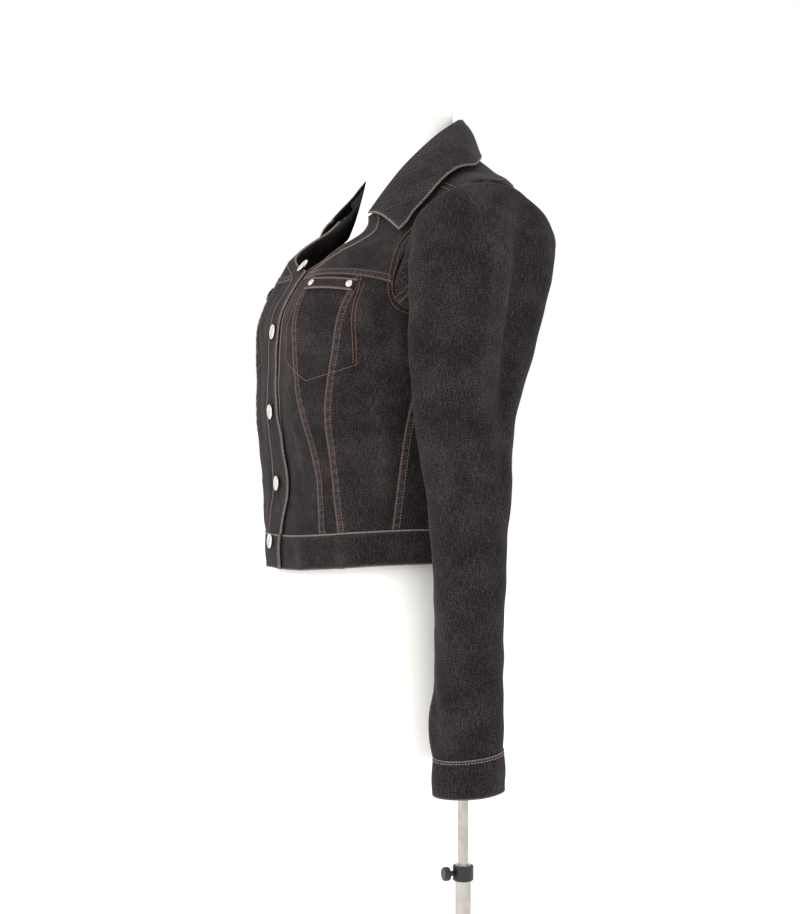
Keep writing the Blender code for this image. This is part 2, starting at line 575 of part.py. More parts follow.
NECK_ROWS = (
    ("neck_root",   -0.030, 1.318,  0.060, 0.041, 1.379, 0.084, 1.400, 0.90),
    ("neck_low",    -0.022, 1.360,  0.051, 0.036, 1.404, 0.078, 1.418, 1.0),
    ("neck_mid",    -0.016, 1.402,  0.049, 0.034, 1.424, 0.077, 1.432, 1.0),
    ("neck_high",   -0.015, 1.446,  0.048, 0.033, 1.448, 0.076, 1.450, 1.0),
    ("neck_rim",    -0.012, 1.450,  0.045, 0.033, 1.452, 0.073, 1.454, 1.0),
)


def form_ring(row, angle):
    _, fy, fz, sx, sy, sz, by, bz, bow = row
    sine, cosine = np.sin(angle), np.cos(angle)
    far = np.where(cosine > 0, fy, by)
    high = np.where(cosine > 0, fz, bz)
    return np.stack([sx * np.sign(sine) * np.abs(sine) ** bow, sy + (far - sy) * np.abs(cosine) ** bow,
                     sz + (high - sz) * np.abs(cosine) ** 2], -1)


def form_ease(t, angle):
    """How far the form lies inside the cloth: more at the armholes, and under the open neck."""
    degrees = np.degrees(np.arccos(np.cos(angle)))
    arm = ARM_EASE * np.exp(-(((degrees - 90.0) / 30.0) ** 2)) * float(soft_step((ARM_TOP + 0.6 - t) / 0.7))
    chest = float(read(CHEST_EASE, t)) * soft_step((75.0 - degrees) / 40.0)
    return float(read(FORM_EASE, t)) + arm * float(t > UNDERARM) + chest


form_angles = np.linspace(0, 2 * math.pi, 57)[:-1]
form_levels = [0.6, 1.2, 2, 2.6, 3.2, 3.8, 4.4, 5, 5.5, 6, 6.5, 7, 7.5, 8, 8.5, 9, 9.5, 10]
form = [form_ring(row, form_angles) for row in FORM_ROWS]
form += [raised(t, form_angles, -form_ease(t, form_angles)) for t in form_levels]
form += [form_ring(row, form_angles) for row in NECK_ROWS]
form = np.array(form)
rows, around = form.shape[:2]
ends = np.stack([form[0].mean(axis=0), form[-1].mean(axis=0)])
form_faces = [(i * around + j, i * around + (j + 1) % around, (i + 1) * around + (j + 1) % around,
               (i + 1) * around + j) for i in range(rows - 1) for j in range(around)]
foot_at, cap_at = rows * around, rows * around + 1
form_faces += [(foot_at, (j + 1) % around, j) for j in range(around)]
top_row = (rows - 1) * around
form_faces += [(cap_at, top_row + j, top_row + (j + 1) % around) for j in range(around)]
add("dress_form", np.concatenate([form.reshape(-1, 3), ends]), form_faces, "form_cover")

# ---- stand: a chrome pole that slides in a tube on a round base, held by a clamp ----
FORM_FOOT = 0.700
BORE = POLE_RADIUS + TUBE_FIT
TUBE_FOOT, TUBE_HEAD = 0.0125, 0.5460
POLE_LONG = FORM_FOOT - SEAM_GAP - POLE_FOOT
turned("pole", ((0, 0), (POLE_RADIUS - 0.0006, 0), (POLE_RADIUS, 0.0006), (POLE_RADIUS, POLE_LONG), (0, POLE_LONG)),
       "chrome", (*POLE_XY, POLE_FOOT), steps=32)


def ring(name, profile, look, place, steps=32):
    """A solid of revolution with a hole through it; the profile closes on itself."""
    made = turned(name, profile, look, place, steps=steps)
    made.data.clear_geometry()
    count = len(profile)
    made.data.from_pydata([(r, 0, h) for r, h in profile], [(i, (i + 1) % count) for i in range(count)], [])
    return made


tube_long = TUBE_HEAD - TUBE_FOOT
ring("lower_tube", ((BORE, 0), (TUBE_RADIUS, 0), (TUBE_RADIUS, tube_long - 0.0006),
                    (TUBE_RADIUS - 0.0006, tube_long), (BORE, tube_long)), "chrome", (*POLE_XY, TUBE_FOOT))
clamp_bore = TUBE_RADIUS + SEAM_GAP
ring("clamp_collar", ((clamp_bore, 0), (CLAMP_RADIUS - 0.001, 0), (CLAMP_RADIUS, 0.001),
                      (CLAMP_RADIUS, CLAMP_HEIGHT - 0.001), (CLAMP_RADIUS - 0.001, CLAMP_HEIGHT),
                      (clamp_bore, CLAMP_HEIGHT)), "black_plastic", (*POLE_XY, CLAMP_Z))
turned("clamp_knob", ((0, 0), (0.0030, 0), (0.0030, 0.0040), (0.0075, 0.0052), (0.0082, 0.0065), (0.0082, 0.0115),
                      (0.0072, 0.0128), (0, 0.0128)), "black_plastic",
       (POLE_XY[0], POLE_XY[1] - CLAMP_RADIUS - SEAM_GAP, CLAMP_Z + CLAMP_HEIGHT / 2), (0, -1, 0), steps=20)
ring("base_socket", ((clamp_bore, 0), (0.0210, 0), (0.0200, 0.0060), (0.0145, 0.0200), (0.0135, 0.0400),
                     (clamp_bore, 0.0400)), "chrome", (*POLE_XY, TUBE_FOOT))
turned("base_plate", ((0, 0), (BASE_RADIUS - 0.001, 0), (BASE_RADIUS, 0.001), (BASE_RADIUS, BASE_EDGE),
                      (BASE_RADIUS - 0.003, BASE_EDGE + 0.003), (0.130, BASE_TOP), (0, BASE_TOP)),
       "chrome", (*BASE_CENTRE, 0.0), steps=64)
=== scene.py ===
import math

import bpy
import numpy as np
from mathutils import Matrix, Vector


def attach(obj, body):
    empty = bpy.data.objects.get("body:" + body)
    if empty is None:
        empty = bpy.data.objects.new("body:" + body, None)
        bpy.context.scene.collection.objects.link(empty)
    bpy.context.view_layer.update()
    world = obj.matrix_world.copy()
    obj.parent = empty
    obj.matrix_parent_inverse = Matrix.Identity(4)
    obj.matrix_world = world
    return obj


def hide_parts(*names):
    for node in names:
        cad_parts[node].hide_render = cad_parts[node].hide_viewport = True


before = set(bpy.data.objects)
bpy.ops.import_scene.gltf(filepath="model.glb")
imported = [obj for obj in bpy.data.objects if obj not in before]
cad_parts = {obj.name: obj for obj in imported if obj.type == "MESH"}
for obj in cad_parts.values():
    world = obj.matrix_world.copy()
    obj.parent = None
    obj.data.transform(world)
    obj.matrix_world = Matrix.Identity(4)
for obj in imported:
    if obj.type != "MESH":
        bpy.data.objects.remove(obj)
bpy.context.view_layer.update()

# ---- The wearer's shape ----
# Jacket and dress form share one surface, body(t, angle): t climbs the rows of BODY_RINGS, and the angle
# runs from the front centre (0) over the left side (90 degrees) to the back (180). Sizes are in metres.
CLOTH = 0.0016
DOUBLED = 0.0024
PLACKET_WALL = 0.0020
BODY_RINGS = (
    # name       front y, z      side x, y, z           back y, z     bow f, b    drop f, b bust
    ("hem",      -0.135, 0.903,  0.158, -0.018, 0.914,  0.096, 0.924, 0.92, 0.97, 1.0, 1.0, 0.000),
    ("band_top", -0.134, 0.942,  0.155, -0.018, 0.952,  0.092, 0.962, 0.92, 0.97, 1.0, 1.0, 0.001),
    ("waist",    -0.126, 1.002,  0.148, -0.014, 1.003,  0.088, 1.005, 0.86, 0.92, 1.0, 1.0, 0.002),
    ("midriff",  -0.134, 1.080,  0.151, -0.008, 1.080,  0.098, 1.082, 0.83, 0.90, 1.0, 1.0, 0.006),
    ("bust",     -0.133, 1.150,  0.158,  0.000, 1.148,  0.112, 1.150, 0.80, 0.85, 1.0, 1.0, 0.010),
    ("underarm", -0.127, 1.194,  0.160,  0.010, 1.185,  0.122, 1.200, 0.80, 0.80, 1.5, 1.0, 0.012),
    ("yoke",     -0.106, 1.230,  0.164,  0.020, 1.203,  0.128, 1.252, 0.85, 0.80, 2.8, 2.0, 0.011),
    ("chest",    -0.087, 1.254,  0.176,  0.032, 1.262,  0.127, 1.290, 0.95, 0.85, 2.5, 2.0, 0.008),
    ("tip",      -0.072, 1.273,  0.190,  0.046, 1.320,  0.120, 1.325, 1.05, 0.95, 4.0, 1.5, 0.004),
    ("shoulder", -0.060, 1.286,  0.132,  0.047, 1.344,  0.107, 1.360, 0.90, 0.98, 2.8, 1.5, 0.000),
    ("neck",     -0.048, 1.297,  0.072,  0.045, 1.368,  0.092, 1.389, 0.75, 1.08, 2.0, 1.5, 0.000),
)
HEM, BAND, UNDERARM, YOKE, TIP, NECK = 0.0, 1.0, 5.0, 6.0, 8.0, 10.0
BUST_AT, BUST_WIDE = 0.074, 0.040
STEP = 0.006  # how finely slopes are taken, in radians or rows
RING_COLUMNS = np.array([row[1:] for row in BODY_RINGS])


def cubic(a, b, c, d, f):
    """The smooth curve from b to c at share f, with a before and d after them."""
    return 0.5 * (2 * b + (c - a) * f + (2 * a - 5 * b + 4 * c - d) * f**2 + (3 * b - a - 3 * c + d) * f**3)


def through(values, t):
    """A smooth curve through the values, one per whole t."""
    values = np.asarray(values, float)
    last = len(values) - 1
    t = np.clip(t, 0, last)
    i = np.minimum(np.floor(t).astype(int), last - 1)
    return cubic(*(values[np.clip(i + k, 0, last)] for k in (-1, 0, 1, 2)), t - i)


def read(table, t):
    return np.interp(t, [row[0] for row in table], [row[1] for row in table])


def soft_step(x):
    x = np.clip(x, 0, 1)
    return x * x * (3 - 2 * x)


def body(t, angle):
    """A point of the jacket's inner surface."""
    t, angle = np.broadcast_arrays(np.asarray(t, float), np.asarray(angle, float))
    fy, fz, sx, sy, sz, by, bz, bow_f, bow_b, drop_f, drop_b, bust = (
        through(RING_COLUMNS[:, k], t) for k in range(RING_COLUMNS.shape[1])
    )
    sine, cosine = np.sin(angle), np.cos(angle)
    front = cosine > 0
    bow, drop = np.where(front, bow_f, bow_b), np.where(front, drop_f, drop_b)
    x = sx * np.sign(sine) * np.abs(sine) ** bow
    y = sy + (np.where(front, fy, by) - sy) * np.abs(cosine) ** bow
    z = sz + (np.where(front, fz, bz) - sz) * (1 - np.abs(sine) ** (2 * drop))
    y = y - bust * np.exp(-(((np.abs(x) - BUST_AT) / BUST_WIDE) ** 2)) * front
    return np.stack([x, y, z], -1)


def unit(v):
    return v / np.maximum(np.linalg.norm(v, axis=-1, keepdims=True), 1e-12)


def outward(t, angle):
    around = body(t, angle + STEP) - body(t, angle - STEP)
    return unit(np.cross(around, body(t + STEP, angle) - body(t - STEP, angle)))


def raised(t, angle, lift):
    t, angle, lift = np.broadcast_arrays(t, angle, lift)
    return body(t, angle) + outward(t, angle) * lift[..., None]


def add_mesh(name, points, faces, finish, slot):
    """A named mesh that rides on the figure, the sliding body."""
    mesh = bpy.data.meshes.new(name)
    mesh.from_pydata(np.asarray(points, float).tolist(), [], faces)
    mesh.update()
    mesh.shade_smooth()
    made = bpy.data.objects.new(name, mesh)
    bpy.context.scene.collection.objects.link(made)
    mesh.materials.append(finish)
    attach(made, "figure")
    return made


def grid_faces(rows, columns, closed=False, flip=False):
    spans = columns if closed else columns - 1
    i, j = np.meshgrid(np.arange(rows - 1), np.arange(spans), indexing="ij")
    right = (j + 1) % columns
    low, high = i * columns, (i + 1) * columns
    quads = np.stack([low + j, low + right, high + right, high + j], -1).reshape(-1, 4)
    return (quads[:, ::-1] if flip else quads).tolist()


def linear(hex_colour):
    """An sRGB hex colour as linear RGBA."""
    srgb = [int(hex_colour[k : k + 2], 16) / 255 for k in (1, 3, 5)]
    return (*(c / 12.92 if c <= 0.04045 else ((c + 0.055) / 1.055) ** 2.4 for c in srgb), 1.0)


def node(tree, kind, inputs=(), **settings):
    """Adds a node; inputs are (socket, value or the socket that feeds it)."""
    made = tree.nodes.new(kind)
    for key, value in settings.items():
        setattr(made, key, value)
    for key, value in inputs:
        if isinstance(value, bpy.types.NodeSocket):
            tree.links.new(value, made.inputs[key])
        else:
            made.inputs[key].default_value = value
    return made


def set_stops(made, *stops):
    """Gives a colour ramp its (place, hex colour) stops and returns its colour."""
    elements = made.color_ramp.elements
    while len(elements) < len(stops):
        elements.new(0.5)
    for element, (place, colour) in zip(elements, stops):
        element.position, element.color = place, linear(colour)
    return made.outputs["Color"]


def new_finish(name, **values):
    """A material with its Principled shader's plain values set; returns it, its tree and the shader."""
    made = bpy.data.materials.new(name)
    made.use_nodes = True
    shader = made.node_tree.nodes["Principled BSDF"]
    for key, value in values.items():
        shader.inputs[key.replace("_", " ")].default_value = value
    return made, made.node_tree, shader


def feed(shader, **sockets):
    """Links outputs into the shader's sockets, named with underscores for spaces."""
    for key, value in sockets.items():
        shader.id_data.links.new(value, shader.inputs[key.replace("_", " ")])


# ---- Dress form ----
# A hard limbless torso under a tight white jersey cover, with a flat foot and a flat neck cap. The jersey
# is matt and very pale, with a fine knit; the pole screws up into the foot.
FORM_EASE = (
    (0, 0.0110), (1, 0.0100), (2, 0.0070), (4, 0.0040), (5.5, 0.0026), (7, 0.0022), (8, 0.0020), (10, 0.0018),
)
ARM_EASE, ARM_REACH, ARM_SOFT = 0.0060, 30.0, 0.7
TIP_EASE, TIP_REACH, TIP_T, TIP_TALL = 0.0070, 25.0, 8.6, 0.7
CHEST_EASE = ((5.8, 0.0), (6.5, 0.006), (7.2, 0.011), (8.2, 0.013), (9.2, 0.012), (10, 0.009))
CHEST_TO, CHEST_SOFT = 75.0, 40.0
ARM_TOP = 8.15
FORM_ROWS = (
    # name          front y, z      side x, y, z          back y, z     bow
    ("foot_rim",    -0.088, 0.700,  0.143, 0.012, 0.700, 0.114, 0.700, 1.0),
    ("foot",        -0.094, 0.706,  0.149, 0.012, 0.706, 0.120, 0.706, 1.0),
    ("thigh",       -0.104, 0.760,  0.158, 0.008, 0.760, 0.130, 0.760, 1.0),
    ("hip",         -0.116, 0.820,  0.162, 0.002, 0.820, 0.131, 0.820, 1.0),
    ("high_hip",    -0.124, 0.860,  0.159, -0.004, 0.860, 0.121, 0.860, 1.0),
    ("under_hem",   -0.126, 0.892,  0.152, -0.012, 0.897, 0.100, 0.900, 0.97),
)
NECK_ROWS = (
    ("neck_root",   -0.030, 1.318,  0.060, 0.041, 1.379, 0.084, 1.400, 0.90),
    ("neck_low",    -0.022, 1.360,  0.051, 0.036, 1.404, 0.078, 1.418, 1.0),
    ("neck_mid",    -0.016, 1.402,  0.049, 0.034, 1.424, 0.077, 1.432, 1.0),
    ("neck_high",   -0.015, 1.446,  0.048, 0.033, 1.448, 0.076, 1.450, 1.0),
    ("neck_rim",    -0.012, 1.450,  0.045, 0.033, 1.452, 0.073, 1.454, 1.0),
)
FORM_LEVELS = [0.6, 1.2, 2, 2.6, 3.2, 3.8, 4.4, 5, 5.5, 6, 6.5, 7, 7.5, 8, 8.5, 9, 9.5, 10]

jersey, tree, shader = new_finish("white cotton jersey", Roughness=0.85, Sheen_Weight=0.2,
                                  Sheen_Roughness=0.5)
place = node(tree, "ShaderNodeTexCoord").outputs["Object"]
knit = node(tree, "ShaderNodeTexNoise", [("Vector", place), ("Scale", 700.0), ("Detail", 2.0)])
tone = node(tree, "ShaderNodeTexNoise", [("Vector", place), ("Scale", 9.0)])
shade = node(tree, "ShaderNodeValToRGB", [("Fac", tone.outputs["Fac"])])
bump = node(tree, "ShaderNodeBump", [("Height", knit.outputs["Fac"]), ("Strength", 0.15),
                                     ("Distance", 0.0003)])
feed(shader, Base_Color=set_stops(shade, (0.3, "#F3F1EC"), (0.7, "#F8F7F4")), Normal=bump.outputs["Normal"])


def form_ring(row, angle):
    _, fy, fz, sx, sy, sz, by, bz, bow = row
    sine, cosine = np.sin(angle), np.cos(angle)
    far, high = np.where(cosine > 0, fy, by), np.where(cosine > 0, fz, bz)
    return np.stack([sx * np.sign(sine) * np.abs(sine) ** bow, sy + (far - sy) * np.abs(cosine) ** bow,
                     sz + (high - sz) * np.abs(cosine) ** 2], -1)


def form_ease(t, angle):
    """How far the form lies inside the cloth: more at the armholes and shoulder tips and at the open neck."""
    degrees = np.degrees(np.arccos(np.cos(angle)))
    off = degrees - 90.0
    below = float(soft_step((ARM_TOP + 0.6 - t) / ARM_SOFT)) * float(t > UNDERARM)
    arm = ARM_EASE * np.exp(-((off / ARM_REACH) ** 2)) * below
    tip = TIP_EASE * np.exp(-((off / TIP_REACH) ** 2) - ((t - TIP_T) / TIP_TALL) ** 2)
    chest = float(read(CHEST_EASE, t)) * soft_step((CHEST_TO - degrees) / CHEST_SOFT)
    return float(read(FORM_EASE, t)) + arm + chest + tip


form_angles = np.linspace(0, 2 * math.pi, 145)[:-1]
coarse = [form_ring(row, form_angles) for row in FORM_ROWS]
coarse += [raised(t, form_angles, -form_ease(t, form_angles)) for t in FORM_LEVELS]
coarse += [form_ring(row, form_angles) for row in NECK_ROWS]
coarse = np.array(coarse)
# The rim rows stay crisp; the rest is drawn smoothly through its rows.
rim = len(coarse) - 2
fine_rows = np.concatenate([[0, 0.5], np.arange(1, rim, 0.25), [rim, rim + 1]])
flat_rows = coarse.reshape(len(coarse), -1)
fine = np.stack([through(flat_rows[:, c], fine_rows) for c in range(flat_rows.shape[1])], -1)
fine = fine.reshape(len(fine_rows), -1, 3)
around = fine.shape[1]
form_faces = grid_faces(len(fine), around, closed=True)
top_row, foot_at = (len(fine) - 1) * around, len(fine) * around
form_faces += [(foot_at, (j + 1) % around, j) for j in range(around)]
form_faces += [(foot_at + 1, top_row + j, top_row + (j + 1) % around) for j in range(around)]
form_points = np.concatenate([fine.reshape(-1, 3), [fine[0].mean(axis=0)], [fine[-1].mean(axis=0)]])
dress_form = add_mesh("dress_form_cover", form_points, form_faces, jersey, "form_cover")
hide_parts("dress_form")

# ---- Denim ----
# Black-rinsed cotton twill of about 12 oz: black warp over a grey weft. Rinsing has left it matt and flecked,
# with pale slub streaks along the warp, and it has gone grey-brown on every folded edge and seam ridge.
WARP_PITCH = 0.0016  # a twill line every 1.6 mm; the real 0.6 mm lines would not show
WAVES_PER_SCALE = 3.2
SLUB_WIDE, SLUB_LONG = 0.0012, 0.011
FLECK = 0.0016
MOTTLE = 0.035


def denim(name, dark, mid, light, worn):
    """Denim whose colour runs from dark to light by its flecks and slubs, and to worn along its ridges."""
    made, tree, shader = new_finish(name, Roughness=0.92, Specular_IOR_Level=0.18, Sheen_Weight=0.06,
                                    Sheen_Roughness=0.45, Sheen_Tint=linear("#B9AEB0"))
    uv = node(tree, "ShaderNodeUVMap", uv_map="cloth").outputs["UV"]
    slub_uv = node(tree, "ShaderNodeMapping", [("Vector", uv),
                                               ("Scale", (1 / SLUB_WIDE, 1 / SLUB_LONG, 1.0))])
    slub = node(tree, "ShaderNodeTexNoise", [("Vector", slub_uv.outputs["Vector"]), ("Scale", 1.0),
                                             ("Detail", 3.0)])
    fleck = node(tree, "ShaderNodeTexNoise", [("Vector", uv), ("Scale", 1 / FLECK), ("Detail", 2.0)])
    mottle = node(tree, "ShaderNodeTexNoise", [("Vector", uv), ("Scale", 1 / MOTTLE), ("Detail", 3.0)])
    turned_uv = node(tree, "ShaderNodeMapping", [("Vector", uv), ("Rotation", (0, 0, math.radians(63)))])
    twill = node(tree, "ShaderNodeTexWave", [("Vector", turned_uv.outputs["Vector"]),
                                             ("Scale", 1 / WARP_PITCH / WAVES_PER_SCALE),
                                             ("Distortion", 1.5), ("Detail", 1.0)])
    tone = 0.0
    for grain, share in ((slub, 0.30), (fleck, 0.46), (mottle, 0.18), (twill, 0.06)):
        tone = node(tree, "ShaderNodeMath", [(0, grain.outputs["Fac"]), (1, share), (2, tone)],
                    operation="MULTIPLY_ADD").outputs[0]
    shade = node(tree, "ShaderNodeValToRGB", [("Fac", tone)])
    cloth_colour = set_stops(shade, (0.39, dark), (0.49, mid), (0.59, light))
    wear = node(tree, "ShaderNodeAttribute", attribute_name="wear").outputs["Fac"]
    patchy = node(tree, "ShaderNodeMath", [(0, fleck.outputs["Fac"]), (1, 1.7), (2, -0.05)],
                  operation="MULTIPLY_ADD")
    amount = node(tree, "ShaderNodeMath", [(0, wear), (1, patchy.outputs[0])], operation="MULTIPLY",
                  use_clamp=True)
    colour = node(tree, "ShaderNodeMix", [("Factor", amount.outputs[0]), ("A", cloth_colour),
                                          ("B", linear(worn))], data_type="RGBA")
    bump = node(tree, "ShaderNodeBump", [("Height", tone), ("Strength", 0.35), ("Distance", 0.0008)])
    feed(shader, Base_Color=colour.outputs["Result"], Normal=bump.outputs["Normal"])
    return made


black_denim = denim("black rinsed denim", "#0D0B0C", "#1C1819", "#3B3435", "#827876")

# ---- How a panel is laid ----
# Every panel is a thin sheet cut between two seams of a surface. Where it laps over its neighbour its edge is
# folded under, which makes a raised strip 9 mm wide with a pucker; soft creases are laid in one by one.
STRIP_WIDE, STRIP_RISE, STRIP_SOFT = 0.0090, 0.0007, 0.0009
PUCKER, PUCKER_EVERY, PUCKER_REACH = 0.00028, 0.0085, 0.0060
EDGE_STEPS = np.array([0.0, 0.0009, 0.0020, 0.0050, 0.0080, 0.0089, 0.0102])
MESH_STEP = 0.0030
CREST_TALL, CREST_WEAR = 0.012, 0.05
CREASE_BEND = 0.03  # how far a crease bows, as a share of its length
STRIP_WEAR, STRIP_WEAR_WIDE, EDGE_WEAR_WIDE = 0.22, 0.004, 0.0013
TABLE_ROWS, TABLE_SHARES = 49, 97
NARROW, NARROW_STEP, EDGES_WIDE = 0.030, 0.0016, 0.026
CREASES = (
    # t, angle  to  t, angle    half width, height (a trough is negative)
    ((6.25, 52), (8.7, 33), 0.0050, -0.0014), ((6.6, 55), (9.1, 42), 0.0045, 0.0010),
    ((7.0, 45), (8.2, 30), 0.0040, -0.0010), ((6.1, 36), (7.6, 22), 0.0045, 0.0008),
    ((5.6, 60), (4.1, 72), 0.0090, -0.0030), ((5.4, 52), (4.3, 60), 0.0085, 0.0016),
    ((5.0, 70), (3.6, 78), 0.0080, 0.0016), ((3.5, 62), (2.2, 66), 0.0100, -0.0022),
    ((2.6, 55), (1.2, 58), 0.0090, -0.0016), ((2.9, 70), (1.7, 72), 0.0085, 0.0014),
    ((3.2, 33), (2.0, 35), 0.0080, -0.0012), ((4.9, 28), (3.9, 26), 0.0100, 0.0010),
    ((3.0, 14), (1.6, 20), 0.0070, -0.0016), ((5.3, 12), (4.1, 9), 0.0070, 0.0012),
    ((6.3, -52), (8.4, -38), 0.0050, -0.0014), ((7.0, -55), (8.9, -46), 0.0045, 0.0009),
    ((5.6, -62), (4.3, -70), 0.0090, -0.0028), ((5.1, -54), (4.0, -60), 0.0080, 0.0014),
    ((3.7, -58), (2.3, -68), 0.0100, -0.0024), ((2.7, -48), (1.3, -52), 0.0090, -0.0018),
    ((2.9, -28), (1.5, -24), 0.0080, 0.0018), ((5.0, -18), (3.4, -13), 0.0060, -0.0014),
    ((3.4, -34), (2.2, -40), 0.0080, -0.0012), ((6.8, -30), (8.8, -34), 0.0050, 0.0012),
    ((5.2, 104), (3.9, 98), 0.0090, -0.0026), ((4.6, 118), (3.0, 112), 0.0090, 0.0014),
    ((3.3, 150), (1.6, 158), 0.0090, -0.0022), ((3.1, 172), (1.4, 175), 0.0100, 0.0014),
    ((3.4, 205), (1.8, 199), 0.0090, -0.0024), ((2.8, 128), (1.3, 124), 0.0090, -0.0016),
    ((2.6, 232), (1.4, 238), 0.0090, -0.0016), ((5.4, 252), (4.0, 260), 0.0090, -0.0026),
    ((7.6, 128), (6.3, 145), 0.0090, -0.0018), ((7.4, 230), (6.2, 214), 0.0090, -0.0016),
    ((5.6, 140), (4.8, 165), 0.0110, -0.0014), ((5.5, 222), (4.6, 200), 0.0110, -0.0012),
)


def crease_height(points, creases, at):
    """How far the listed creases move each point; at gives a crease's line on the surface."""
    flat = points.reshape(-1, 3)
    height = np.zeros(len(flat))
    share = np.linspace(0, 1, 11)
    bend = np.sin(share * math.pi) * CREASE_BEND
    for (v0, u0), (v1, u1), wide, tall in creases:
        line = at(v0 + (v1 - v0) * share, np.radians(u0 + (u1 - u0) * (share + bend)))
        reach = wide * 3
        near = np.all((flat > line.min(axis=0) - reach) & (flat < line.max(axis=0) + reach), axis=1)
        some = flat[near]
        best, where = np.full(len(some), 1e9), np.zeros(len(some))
        for i in range(len(line) - 1):
            span = line[i + 1] - line[i]
            k = np.clip(((some - line[i]) @ span) / max(span @ span, 1e-12), 0, 1)
            gap = np.linalg.norm(some - line[i] - k[:, None] * span, axis=1)
            where = np.where(gap < best, (i + k) / (len(line) - 1), where)
            best = np.minimum(gap, best)
        taper = np.sin(np.clip(where, 0, 1) * math.pi) ** 0.7
        height[near] += tall * np.exp(-((best / wide) ** 2)) * taper
    return height.reshape(points.shape[:-1])


def ripple(points):
    """The slight unevenness of heavy cloth over the whole piece."""
    x, y, z = points[..., 0], points[..., 1], points[..., 2]
    return 0.00035 * (np.sin(x * 97 + z * 61 + 0.4) + np.sin(y * 118 - z * 83 + 1.7)
                      + 0.7 * np.sin(z * 171 + x * 52 - y * 64 + 2.9))


def drawn(at, sign, v, u):
    """Point, outward normal, and metres per unit of u and of v, on the surface at."""
    v, u = np.broadcast_arrays(np.asarray(v, float), np.asarray(u, float))
    across = (at(v, u + STEP) - at(v, u - STEP)) / (2 * STEP)
    along = (at(v + STEP, u) - at(v - STEP, u)) / (2 * STEP)
    return (at(v, u), unit(np.cross(across, along)) * sign,
            np.linalg.norm(across, axis=-1), np.linalg.norm(along, axis=-1))


def strip(d):
    """The cross-section of a lapped edge: 1 on the folded strip, 0 beyond it."""
    return soft_step((STRIP_WIDE - d) / STRIP_SOFT + 0.5)


